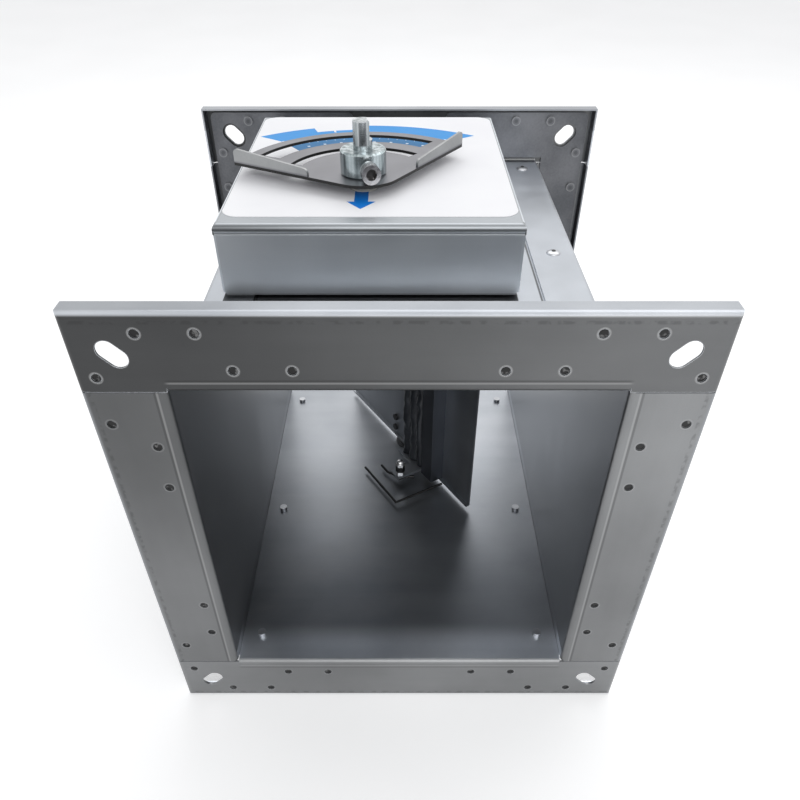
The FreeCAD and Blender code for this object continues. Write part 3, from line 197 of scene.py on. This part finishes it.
def lamp(name, spot, target, width, height, power):
    """A soft box that looks at a point."""
    data = bpy.data.lights.new(name, "AREA")
    data.shape = "RECTANGLE"
    data.size, data.size_y, data.energy = width, height, power
    made = bpy.data.objects.new(name, data)
    made.location = spot
    made.rotation_euler = (Vector(target) - Vector(spot)).to_track_quat("-Z", "Y").to_euler()
    scene.collection.objects.link(made)


lamp("back_softbox", (0.30, 0.75, 1.45), (0, 0, 0.15), 1.8, 1.2, 9.0)
lamp("front_softbox", (0.2, -1.3, 1.0), (0, 0, 0.20), 1.2, 0.9, 7.0)

camera_data = bpy.data.cameras.new("photo_camera")
camera_data.lens = 32.195
camera_data.sensor_width = 36.0
camera_data.shift_y = 0.1175
camera_data.clip_start = 0.01
camera = bpy.data.objects.new("photo_camera", camera_data)
camera.location = (0.0004, -0.4074, 0.4144)
camera.rotation_euler = (math.radians(47.54), 0, 0)
scene.collection.objects.link(camera)
scene.camera = camera


# Duct casing
# Four folded sheets of galvanised steel make the duct and the flange at each end.
# The zinc is smooth and cloudy, with rolling marks along the sheet and a mark beside each bend.
# Each sheet is a lighter or darker copy of one zinc as painted light and shade, and its deck, lips,
# duct floor and flange face carry painted light and shade too.
def dress(finish, *names):
    """Give CAD nodes a finish."""
    for name in names:
        for slot in nodes[name].material_slots:
            slot.material = finish


half_flange = 0.138
deck_low, lip_low, floor_high, seam_edge = 0.2375, 0.262, 0.045, 0.0737
clinch_points = ((0.0305, 0.0093), (0.055, 0.0093), (0.068, 0.027), (0.093, 0.027))


def clinch_gap(paint, x, z):
    """How far a place on a flange is from the nearest clinch point."""
    across, down = half_flange - abs(x), half_flange - abs(z - half_flange)
    long_way = paint.node("ShaderNodeMath", {"operation": "MAXIMUM"}, {0: across, 1: down})
    short_way = paint.node("ShaderNodeMath", {"operation": "MINIMUM"}, {0: across, 1: down})
    point = paint.node("ShaderNodeCombineXYZ", {}, {0: long_way, 1: short_way})
    nearest = None
    for along, inward in clinch_points:
        gap = paint.node("ShaderNodeVectorMath", {"operation": "DISTANCE"},
                         {0: point, 1: (along, inward, 0)}, "Value")
        nearest = gap if nearest is None else paint.node(
            "ShaderNodeMath", {"operation": "MINIMUM"}, {0: nearest, 1: gap})
    return across, down, nearest


def duct_painted_light_and_shade(paint, place, limited, colour, off_face):
    """The light deck with its seams, lighter towards the rear as painted light; a painted shadow
    before the box; the lips darkened as painted shade; the duct's floor painted lighter towards the
    rear, the right and the mouth.
    """
    x, y, z = place
    deck = (z > deck_low) * (z < lip_low) * (abs(x) < 0.1012) * off_face
    # A painted shadow on the deck just before the box.
    in_front = paint.fade(y, -0.0780, -0.0745) * (y < -0.0600)
    gap = in_front * (x > -0.0905) * (x < 0.0615)
    seam = paint.line(abs(x), seam_edge, 0.0003, 0.0007)
    deck_sheet = paint.mix(limited, (0.355, 0.375, 0.40, 1), (0.525, 0.55, 0.59, 1))
    # The deck is painted lighter towards the rear, as painted light.
    rear = paint.fade(y, 0.05, 0.13) * 0.45
    shade = (1 - gap * 0.88) * (1 - seam * 0.75) * (1 + rear)
    colour = paint.mix(deck, colour, paint.scaled(deck_sheet, shade))
    # The lips are darkened as painted shade, and the duct's floor is painted lighter towards the
    # rear, the right and the mouth, as painted light.
    lip = (z > lip_low) * off_face
    low = (z < floor_high) * off_face
    far = paint.fade(y, -0.01, 0.07) * 0.42
    right = paint.fade(x, -0.05, 0.06) * 0.28 - 0.14
    near = (1 - paint.fade(y, -0.140, -0.119)) * 1.7
    return paint.scaled(colour, 1 - lip * 0.36 + low * (far + right + near))


def flange_painted_shade(paint, place, limited, painted_face_tones, level):
    """The flange's face in painted shade, a little lighter from one end of the strip to the other
    as painted light.
    """
    x, z = place[0], place[2]
    first, last = painted_face_tones
    painted_slope = paint.fade(x, -0.12, 0.13) if level else paint.fade(z, 0.10, 0.22)
    return paint.scaled(paint.mix(limited, grey(0.72, 0.02), grey(1.3, 0.02)),
                        first + painted_slope * (last - first))


def galvanised(name, dark, light, stretch, roughness=0.36, flange=None, level=True, ring_glint=0.1):
    """Zinc coated sheet; a flange's face has painted light and shade of its own, clinch points with
    painted shade in the pit and a painted highlight ring, brake lines, and a crease line in painted
    shade beside a painted highlight.
    """
    paint = Paint(name)
    x, y, z = place = paint.axes()
    clouds = paint.cloud(11, detail=2.0)
    rolled = paint.cloud(60, stretch, 4.0)
    grain = paint.cloud(1400, detail=1.0)
    bloom = paint.cloud(38, detail=5.0)
    tone = 0.5 + clouds * 1.1 + rolled * 0.55 + bloom * 0.45 + grain * 0.12
    edge_wear_and_shade = paint.edge(0.0007)
    height = rolled * 0.25 + grain * 0.12 + clouds * 1.5
    limited = paint.fade(tone + edge_wear_and_shade * 0.5, -0.35, 1.35)
    colour = paint.mix(limited, dark, light)
    metal = 0.94 - edge_wear_and_shade * 0.1
    if flange:
        across, down, nearest = clinch_gap(paint, x, z)
        inward = down if level else across
        on_face = paint.fade(abs(y), 0.1470, 0.1488)
        past_bend = paint.fade(inward, *((0.0006, 0.0020) if level else (0.0010, 0.0030)))
        colour = duct_painted_light_and_shade(paint, place, limited, colour, 1 - on_face)
        colour = paint.mix(on_face * past_bend * (1 - edge_wear_and_shade * 0.8), colour,
                           flange_painted_shade(paint, place, limited, flange, level))
        between = 1 - paint.fade(abs(x), 0.098, 0.101) if level else 1.0
        brake = paint.line(inward, 0.0042, 0.0004, 0.0012) * on_face
        # A dark crease line past the bend is painted shade with a dent, and a lighter line beside
        # it is a painted highlight.
        inner = paint.line(inward, 0.0322, 0.0003, 0.0009) * on_face * between
        glint = paint.line(inward, 0.0332, 0.0002, 0.0008) * on_face * between
        speckle = paint.fade(paint.cloud(900, (0.3, 1, 0.3), 2.0), -0.06, 0.1)
        colour = paint.mix(brake * speckle * 0.28 + inner * 0.35, colour, grey(0.03))
        colour = paint.mix(glint * 0.2, colour, grey(0.6))
        # A raised ring round each clinch point carries a painted highlight; the pit is painted dark
        # as shade, with painted glints in it.
        ring = paint.line(nearest, 0.0027, 0.0001, 0.0005) * on_face
        pit_shade = 1 - paint.fade(nearest, 0.0017, 0.0024)
        pit_glint = paint.fade(paint.cloud(420, detail=2.0), 0.05, 0.16)
        colour = paint.mix(ring * ring_glint, colour, grey(0.62))
        colour = paint.mix(pit_shade * 0.93, colour, paint.mix(pit_glint, grey(0.006), grey(0.14)))
        metal = metal - pit_shade * 0.5
        height = height + ring * 0.6 - brake * 0.3 - inner * 0.5
    return paint.surface(
        Base_Color=colour, Metallic=metal,
        Roughness=roughness + clouds * 0.16 + rolled * 0.10 + bloom * 0.08 + edge_wear_and_shade * 0.05,
        Normal=paint.relief(height, 0.00012))


sheet_dark, sheet_light = (0.285, 0.305, 0.335), (0.56, 0.58, 0.61)
# Per panel: a factor that makes the whole sheet lighter or darker as painted light and shade, the
# flange face's painted shade at the two ends of its strip, whether it lies level, and the strength
# of the painted highlight ring.
panels = (
    ("top_panel", 1.3, (0.062, 0.155), True, 0.24),
    ("bottom_panel", 0.66, (0.225, 0.24), True, 0.05),
    ("left_panel", 0.52, (0.180, 0.110), False, 0.10),
    ("right_panel", 0.60, (0.21, 0.25), False, 0.10))
for panel, painted_inside_shading, painted_face_tones, level, ring_glint in panels:
    dark, light = [[painted_inside_shading * c for c in shade] + [1] for shade in (sheet_dark, sheet_light)]
    rolling = (0.12, 1, 1) if level else (1, 1, 0.12)
    dress(galvanised(f"{panel}_zinc", dark, light, rolling, 0.36, painted_face_tones, level, ring_glint), panel)

# Corner brackets
# Flat L plates of thicker galvanised steel, hidden behind the flange strips.
# Each is held by clinch points that push the sheet into the plate.
# The plates' zinc is darkened as painted shade for their place behind the strips; a light ring
# round each clinch point is a painted highlight, and the dimple is painted dark as shade.
plate = Paint("galvanised_bracket_plate")
x, y, z = plate.axes()
nearest = clinch_gap(plate, x, z)[2]
ring_glint = plate.line(nearest, 0.0028, 0.0002, 0.0007)
dimple = 1 - plate.fade(nearest, 0.0010, 0.0017)
clouds, grain = plate.cloud(30), plate.cloud(700)
edge_wear_and_shade = plate.edge(0.0006)
zinc = plate.mix(plate.fade(clouds + grain * 0.3 + edge_wear_and_shade * 0.4, -0.35, 0.35),
                 (0.10, 0.105, 0.115, 1), (0.22, 0.225, 0.24, 1))
zinc = plate.mix(ring_glint * 0.20, zinc, grey(0.60))
dress(plate.surface(
    Base_Color=plate.mix(dimple * 0.4, zinc, grey(0.04)), Metallic=0.93 - edge_wear_and_shade * 0.1,
    Roughness=0.45 + clouds * 0.15 + grain * 0.08,
    Normal=plate.relief(clouds + grain * 0.3, 0.00008)),
    *[name for name in nodes if "_bracket_" in name])


# Rivets
# Blind rivets of bright zinc plated steel, set through the long seams and the base plate.
# The broken mandrel end sits in a small dimple at the middle of each head.
def bright(name, dark, light, roughness, scale=220, metallic=0.96, stretch=(1, 1, 1)):
    """Plated steel with a fine grain."""
    paint = Paint(name)
    clouds = paint.cloud(45, detail=3.0)
    grain = paint.cloud(scale, stretch, 4.0)
    edge_wear_and_shade = paint.edge(0.0004)
    tone = paint.fade(0.5 + clouds * 0.9 + grain * 0.8 + edge_wear_and_shade * 0.5, -0.2, 1.2)
    return paint.surface(
        Base_Color=paint.mix(tone, dark, light), Metallic=metallic - edge_wear_and_shade * 0.05,
        Roughness=roughness + clouds * 0.14 + grain * 0.14,
        Normal=paint.relief(grain + clouds * 0.6, 0.00004))


rivet_finish = bright("rivet_plating", (0.36, 0.37, 0.39, 1), (0.62, 0.63, 0.65, 1), 0.32)
dress(rivet_finish, "seam_rivets", "base_rivets")


def piece(name, mesh, finish, body, smooth=True):
    """Turn a bmesh into an object that rides on a body."""
    data = bpy.data.meshes.new(name)
    mesh.to_mesh(data)
    mesh.free()
    made = bpy.data.objects.new(name, data)
    scene.collection.objects.link(made)
    data.materials.append(finish)
    if smooth:
        data.shade_smooth()
    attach(made, body)
    return made


def mandrel(mesh, spot, side):
    """A stub with a bevelled rim that stands a little out of the rivet's head."""
    made = bmesh.ops.create_cone(mesh, cap_ends=True, segments=20, radius1=0.0013,
                                 radius2=0.0011, depth=0.0007, matrix=Matrix.Translation(spot))
    top = max(v.co.z * side for v in made["verts"])
    rim = [e for e in {e for v in made["verts"] for e in v.link_edges}
           if all(v.co.z * side > top - 1e-6 for v in e.verts)]
    bmesh.ops.bevel(mesh, geom=rim, offset=0.0002, segments=2, affect="EDGES", profile=0.5,
                    material=-1)


stubs = bmesh.new()
head_top, head_bottom = 0.24145, 0.03455
for x in (-0.088, 0.088):
    for y in (-0.129, -0.013, 0.129):
        mandrel(stubs, (x, y, head_top), 1)
        mandrel(stubs, (x, y, head_bottom), -1)
bmesh.ops.recalc_face_normals(stubs, faces=stubs.faces)
piece("rivet_mandrels", stubs, bright("mandrel_steel", grey(0.03), grey(0.10), 0.45),
      "casing", False)

# Mechanism base and cover
# The base plate and the folded cover are lighter galvanised sheet, pressed and spot marked.
# Pan head screws with a cross recess hold the cover to the base's tabs.
cover = Paint("cover_sheet")
x, y, z = cover.axes()
clouds, rolled = cover.cloud(11, detail=2.0), cover.cloud(60, (0.12, 1, 1), 4.0)
grain, bloom = cover.cloud(1400, detail=1.0), cover.cloud(38, detail=5.0)
edge_wear_and_shade = cover.edge(0.0007)
tone = 0.5 + clouds * 1.1 + rolled * 0.55 + bloom * 0.45 + grain * 0.12 + edge_wear_and_shade * 0.5
tone = cover.fade(tone, -0.35, 1.35)
sheet = cover.mix(tone, (0.62, 0.665, 0.71, 1), (0.88, 0.92, 0.96, 1))
cover_front, cover_top, cover_middle, cover_half = -0.0640, 0.2768, -0.0145, 0.0758
# The cover's top is painted darker as shade, the bend below it is darkened as painted shade against
# its highlight, the crease line is a dent with painted shade, the front's side edges are painted
# dark as shade, and the front darkens towards the left as painted shade.
upper = z > cover_top
bend = cover.fade(z, 0.2732, 0.2744) * (1 - upper) * (y < -0.0600)
in_front = y < cover_front
crease = cover.line(z, 0.2727, 0.0002, 0.0006) * in_front
sides = (abs(x - cover_middle) > cover_half) * in_front * (z < 0.2735)
left = (1 - upper) * in_front * (1 - cover.fade(x, -0.09, -0.02))
sheet = cover.scaled(sheet, 1 - upper * 0.50 - bend * 0.62 - crease * 0.40 - left * 0.18)
dress(cover.surface(
    Base_Color=cover.mix(sides * 0.75, sheet, grey(0.05)), Metallic=0.94 - edge_wear_and_shade * 0.1,
    Roughness=0.37 + clouds * 0.16 + rolled * 0.10 + bloom * 0.08,
    Normal=cover.relief(rolled * 0.25 + grain * 0.12 + clouds * 1.5 - crease * 0.6, 0.00012)),
    "mechanism_cover")
dress(galvanised("base_sheet", (0.44, 0.47, 0.50, 1), (0.66, 0.69, 0.72, 1), (0.12, 1, 1), 0.37),
      "mechanism_base")

screws = Paint("cover_screw_steel")
x, y, z = screws.axes()
row_middle, row_reach, screw_level = 0.0265, 0.055, 0.2495
from_row = abs(abs(y - row_middle) - row_reach)
from_level = abs(z - screw_level)
upright_slot = (from_row < 0.0005) * (from_level < 0.0019)
level_slot = (from_level < 0.0005) * (from_row < 0.0019)
# The cross recess is a dent painted dark as shade.
cross_recess_shade = screws.fade(upright_slot + level_slot, 0.0, 1.0)
fine = screws.cloud(300)
edge_wear_and_shade = screws.edge(0.0004)
dress(screws.surface(
    Base_Color=screws.mix(cross_recess_shade, screws.mix(screws.fade(fine + edge_wear_and_shade * 0.4, -0.4, 0.4),
                                            grey(0.42), grey(0.66)), grey(0.04)),
    Metallic=0.95 - cross_recess_shade * 0.5, Roughness=0.3 + fine * 0.15,
    Normal=screws.relief(fine * 0.3 - cross_recess_shade * 6.0, 0.0001)), "cover_screws")

# Scale label
# A white plastic film with rounded corners, stuck on the cover and printed in two blues.
# Two curved bands with white marks follow the pointer, and an arrow shows the air flow.
hub_x, hub_y = -0.0188, -0.0135
label = Paint("printed_label_film")
x, y, z = label.axes()
dx, dy = x - hub_x, y - hub_y
radius = label.node("ShaderNodeMath", {"operation": "SQRT"}, {0: dx * dx + dy * dy})
bearing = label.node("ShaderNodeMath", {"operation": "ARCTAN2"}, {0: dy, 1: dx})
turn = bearing * (180 / math.pi)
slant = (radius - 0.087) / 0.0235
step = (turn > 92.5) * (turn < 108.9)
outer_edge = 0.1105 - step * 0.0085
outer_band = ((radius > 0.0868) * (radius < outer_edge)
              * (turn < 123.5 + slant * 4.5) * (turn > 58.5 - slant * 5.0))
outer_band = outer_band * (1 - (abs(turn - 102.7) < 0.35) * (radius > 0.0985))
inner_band = (radius > 0.0700) * (radius < 0.0858) * (turn < 124.5) * (turn > 58.5)


def marks(step_angle, ring, size):
    """White marks at even angles on one ring."""
    turns = turn / step_angle
    part = label.node("ShaderNodeMath", {"operation": "FRACT"}, {0: turns}) - 0.5
    along = abs(part) * (step_angle * math.pi / 180) * ring
    return (along < size) * (abs(radius - ring) < size)


dots = (marks(9.2, 0.0935, 0.0008) + marks(7.6, 0.0770, 0.0008)
        + marks(3.8, 0.0832, 0.00035))
arrow_x = -0.0196
side = abs(x - arrow_x)
stem = (side < 0.0036) * (y > -0.0355) * (y < -0.0195)
head = (side < (y + 0.0452) * 0.74) * (y < -0.0350)
print_light, print_deep = (0.045, 0.32, 0.76, 1), (0.025, 0.19, 0.43, 1)
film = label.mix(label.fade(label.cloud(20), -0.25, 0.25),
                 (0.90, 0.90, 0.925, 1), (0.95, 0.95, 0.965, 1))
ink = label.mix(outer_band, film, print_light)
ink = label.mix(inner_band, ink, print_deep)
ink = label.mix((dots > 0.5) * (outer_band + inner_band > 0.5), ink, (0.75, 0.86, 0.95, 1))
ink = label.mix(stem + head > 0.5, ink, (0.004, 0.20, 0.70, 1))
edge_wear_and_shade = label.edge(0.0004)
dress(label.surface(
    Base_Color=label.mix(edge_wear_and_shade, ink, grey(0.6)),
    Roughness=0.50 + label.cloud(90) * 0.12, Specular_IOR_Level=0.22,
    Normal=label.relief(label.cloud(55, detail=2.0) + label.cloud(900) * 0.08, 0.00008)),
    "scale_label")


# Bushes, bearings and stops
# Turned plastic bushes carry the spindle and the blade shaft, and two steel pegs stop the cam.
# The bushes are pale and waxy, the bearings dark.
def plastic(name, dark, light, roughness=0.42):
    """Moulded or turned plastic."""
    paint = Paint(name)
    clouds, grain = paint.cloud(60), paint.cloud(800)
    edge_wear_and_shade = paint.edge(0.0005)
    return paint.surface(
        Base_Color=paint.mix(paint.fade(clouds + grain * 0.5 + edge_wear_and_shade * 0.3, -0.35, 0.35),
                             dark, light),
        Roughness=roughness + grain * 0.2 + clouds * 0.1,
        Normal=paint.relief(grain + clouds * 0.4, 0.00004))


dress(plastic("bush_nylon", (0.55, 0.54, 0.50, 1), (0.70, 0.69, 0.65, 1)),
      "setting_bush_lower", "setting_bush_upper")
dress(plastic("bearing_nylon", (0.045, 0.047, 0.05, 1), (0.09, 0.092, 0.097, 1)),
      "blade_bearing_upper", "blade_bearing_lower")
dress(bright("peg_steel", grey(0.30, 0.03), grey(0.52, 0.03), 0.35), "stop_pegs")

# Damper blade and shaft
# One flat galvanised sheet strapped in front of a plain steel shaft by three saddles.
# Inside the duct the zinc is duller than on the casing, and painted darker as shade.
dress(galvanised("blade_sheet", (0.235, 0.25, 0.275, 1), (0.435, 0.455, 0.485, 1),
                 (1, 1, 0.12), 0.40), "damper_blade")
dress(bright("shaft_steel", (0.34, 0.35, 0.36, 1), (0.58, 0.59, 0.60, 1), 0.28, 500,
             stretch=(1, 1, 0.05)), "blade_shaft", "shaft_collar", "shaft_retaining_ring")
dress(galvanised("strap_sheet", (0.26, 0.275, 0.30, 1), (0.48, 0.50, 0.53, 1), (1, 1, 1), 0.38),
      "shaft_straps", "bellows_end_plates")
dress(bright("strap_screw_steel", grey(0.03), grey(0.10), 0.45), "strap_screws")

# Damping bellows
# A folded bag of thin black film along the blade, filled through two holes behind it.
# It is held between two end plates, and a folded steel rail covers its outer edge.
blade_turn = math.radians(-59.1)
blade_frame = Matrix.Translation((0.0084, 0.0711, 0)) @ Matrix.Rotation(blade_turn, 4, "Z")
face = -0.00605
bag_start, bag_end, bag_depth = 0.0157, 0.0448, 0.0128
bag_low, bag_high = 0.0466, 0.2294
pleats = 3

bag = bmesh.new()
bmesh.ops.create_cube(bag, size=1.0)
upright = [e for e in bag.edges if abs(e.verts[0].co.z - e.verts[1].co.z) > 0.5]
bmesh.ops.subdivide_edges(bag, edges=upright, cuts=70, use_grid_fill=True)
level = [e for e in bag.edges if abs(e.verts[0].co.x - e.verts[1].co.x) > 0.5]
bmesh.ops.subdivide_edges(bag, edges=level, cuts=35, use_grid_fill=True)
for vert in bag.verts:
    u, front, w = vert.co.x + 0.5, vert.co.y < 0, vert.co.z + 0.5
    x = bag_start + u * (bag_end - bag_start)
    z = bag_low + w * (bag_high - bag_low)
    y = face - 0.0001
    if front:
        fold = abs(math.sin(u * pleats * math.pi)) ** 0.7
        sides = min(1.0, math.sin(math.pi * u) * 3.0 + 0.25)
        crease = noise.noise(Vector((u * 5, 0, w * 26))) * 0.10
        sag = noise.noise(Vector((u * 2, 4, w * 7))) * 0.10
        depth = bag_depth * sides * (0.60 + 0.30 * fold + crease + sag)
        y = face - min(depth, bag_depth)
    vert.co = blade_frame @ Vector((x, y, z))
bmesh.ops.recalc_face_normals(bag, faces=bag.faces)
film_black = Paint("bellows_film")
folds, dust = film_black.cloud(120, (1, 1, 0.4), 4.0), film_black.cloud(600)
bellows = piece("bellows_bag", bag, film_black.surface(
    Base_Color=film_black.mix(film_black.fade(folds + dust * 0.6, -0.3, 0.4),
                              (0.012, 0.014, 0.018, 1), (0.045, 0.050, 0.058, 1)),
    Roughness=0.40 + dust * 0.25, Normal=film_black.relief(folds + dust * 0.15, 0.0004)), "blade")
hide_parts("bellows")

dress(galvanised("rail_sheet", (0.065, 0.07, 0.08, 1), (0.15, 0.16, 0.18, 1), (1, 1, 0.1), 0.40),
      "bellows_rail")
dress(bright("wire_steel", grey(0.012), grey(0.035), 0.45, 700, metallic=0.4),
      "bellows_wire", "hook_wire")
stud = Paint("stud_steel")
x, y, z = stud.axes()
fine = stud.cloud(500)
# The stud's and nut's ends are painted bright as highlights, against a dark middle.
painted_highlight_ends = 1 - stud.fade(z, 0.0475, 0.0485) + stud.fade(z, 0.0525, 0.0540)
edge_wear_and_shade = stud.edge(0.0003)
dress(stud.surface(
    Base_Color=stud.mix(stud.fade(painted_highlight_ends + fine * 0.4 + edge_wear_and_shade * 0.2, 0.1, 1.0),
                        grey(0.02), grey(0.80)),
    Metallic=0.9 - edge_wear_and_shade * 0.1, Roughness=0.25 + fine * 0.1, Normal=stud.relief(fine, 0.00003)),
    "bellows_stud", "dome_nut")

# Cam and spring lever
# A plastic cam disc on a steel hub turns with the blade, against a thin leaf spring.
# The spring is clamped to the plastic lever on the setting spindle's lower end.
dress(plastic("cam_plastic", (0.10, 0.105, 0.11, 1), (0.18, 0.185, 0.19, 1)),
      "cam_disc", "spring_lever")
dress(bright("cam_hub_steel", grey(0.34), grey(0.58), 0.3), "cam_hub", "cam_set_screw")
dress(bright("spring_steel", (0.20, 0.22, 0.26, 1), (0.44, 0.47, 0.52, 1), 0.22, 400),
      "leaf_spring")

# Setting pointer, hub and spindle
# The pointer is a flat zinc plated fan with two wings, under a turned collar on the spindle.
# The plating is bright with a cool tint, the fan's face finely grained.
plating = Paint("pointer_plating")
x, y, z = plating.axes()
facing = plating.node("ShaderNodeSeparateXYZ", {}, {0: plating.node(
    "ShaderNodeNewGeometry", {}, {}, "Normal")})
upward = abs(Tone(plating, facing.socket.node.outputs[2]))
plate_top = 0.28438
# The sheet's cut sides and edges are painted dark as shade, and the wings are painted lighter than
# the flat fan as painted light.
rim = (z < plate_top) * (upward < 0.5)
clouds, grain = plating.cloud(45, detail=3.0), plating.cloud(900, (1, 1, 1), 2.0)
edge_wear_and_shade = plating.edge(0.0003)
tone = plating.fade(0.5 + clouds * 1.2 + grain * 0.25, -0.2, 1.2)
shaded_fan_tone = plating.mix(tone, (0.165, 0.165, 0.178, 1), (0.27, 0.27, 0.288, 1))
lit_wing_tone = plating.mix(tone, (0.24, 0.245, 0.25, 1), (0.44, 0.45, 0.455, 1))
lit_and_shaded_sheet = plating.mix(plating.fade(z, 0.2846, 0.2856), shaded_fan_tone, lit_wing_tone)
dress(plating.surface(
    Base_Color=plating.mix(edge_wear_and_shade * 0.35 + rim, lit_and_shaded_sheet, grey(0.025)),
    Metallic=0.92 - rim * 0.3, Roughness=0.40 + clouds * 0.16 + grain * 0.08,
    Normal=plating.relief(grain * 0.5 + clouds, 0.00004)), "pointer_plate")


def turned(name, dark, light, roughness):
    """Bright turned steel with fine rings round an upright axis, and upright streaks of strong
    contrast as painted reflections.
    """
    paint = Paint(name)
    x, y, z = paint.axes()
    dx, dy = x - hub_x, y - hub_y
    ring = paint.node("ShaderNodeMath", {"operation": "SQRT"}, {0: dx * dx + dy * dy})
    lines = paint.node("ShaderNodeCombineXYZ", {}, {0: ring, 1: z})
    rings = paint.node("ShaderNodeTexNoise", {},
                       {"Vector": lines, "Scale": 2400.0, "Detail": 2.0}) - 0.5
    clouds = paint.cloud(70, detail=4.0)
    painted_reflection_streaks = paint.cloud(330, (1, 1, 0.06), 2.0)
    edge_wear_and_shade = paint.edge(0.0004)
    tone = paint.fade(0.5 + rings * 0.4 + clouds * 0.8 + painted_reflection_streaks * 2.6 + edge_wear_and_shade * 0.6, -0.2, 1.2)
    return paint.surface(
        Base_Color=paint.mix(tone, dark, light), Metallic=0.97 - edge_wear_and_shade * 0.05,
        Roughness=roughness + rings * 0.08 + clouds * 0.12,
        Normal=paint.relief(rings * 0.6 + clouds, 0.00003))


dress(turned("hub_plating", (0.16, 0.20, 0.21, 1), (0.68, 0.76, 0.78, 1), 0.22), "pointer_hub")
dress(turned("spindle_steel", (0.17, 0.20, 0.21, 1), (0.74, 0.77, 0.79, 1), 0.18),
      "setting_spindle")

# Clamp screw
# A bright socket head screw that locks the hub on the spindle.
# Its hexagon socket is painted dark as shade at the bottom, its head's end face is painted lighter
# as a highlight, and the knurl's grooves are painted dark as shade.
screw_turn, clamp_level = math.radians(14), 0.2896
screw = Paint("clamp_screw_steel")
x, y, z = screw.axes()
dx, dy, dz = x - hub_x, y - hub_y, z - clamp_level
along = dx * math.sin(screw_turn) - dy * math.cos(screw_turn)
aside = dx * math.cos(screw_turn) + dy * math.sin(screw_turn)
off_axis = screw.node("ShaderNodeMath", {"operation": "SQRT"}, {0: aside * aside + dz * dz})
lit_head_face = screw.fade(along, 0.0205, 0.0210)
# The socket's depth is painted dark as shade.
socket = (1 - screw.fade(off_axis, 0.0026, 0.0030)) * (1 - lit_head_face) * (along > 0.0165)
knurl = screw.node("ShaderNodeMath", {"operation": "ARCTAN2"}, {0: dz, 1: aside})
groove = abs(screw.node("ShaderNodeMath", {"operation": "FRACT"}, {0: knurl * 6.5}) - 0.5)
knurled = (off_axis > 0.0046) * (along > 0.0155) * (along < 0.0204)
clouds, grain = screw.cloud(90, detail=3.0), screw.cloud(500)
edge_wear_and_shade = screw.edge(0.0003)
tone = 0.62 + clouds * 1.1 + grain * 0.4 + edge_wear_and_shade * 0.8 + lit_head_face * 0.9 - knurled * groove * 2.2
tone = screw.fade(tone, -0.2, 1.2)
dress(screw.surface(
    Base_Color=screw.mix(socket * 0.92,
                         screw.mix(tone, (0.15, 0.14, 0.15, 1), (0.90, 0.88, 0.89, 1)),
                         (0.012, 0.010, 0.010, 1)),
    Metallic=0.97 - socket * 0.4, Roughness=0.2 + grain * 0.12 + clouds * 0.1,
    Normal=screw.relief(grain * 0.4 + clouds * 0.5 - knurled * groove * 3.0, 0.00006)),
    "clamp_screw")
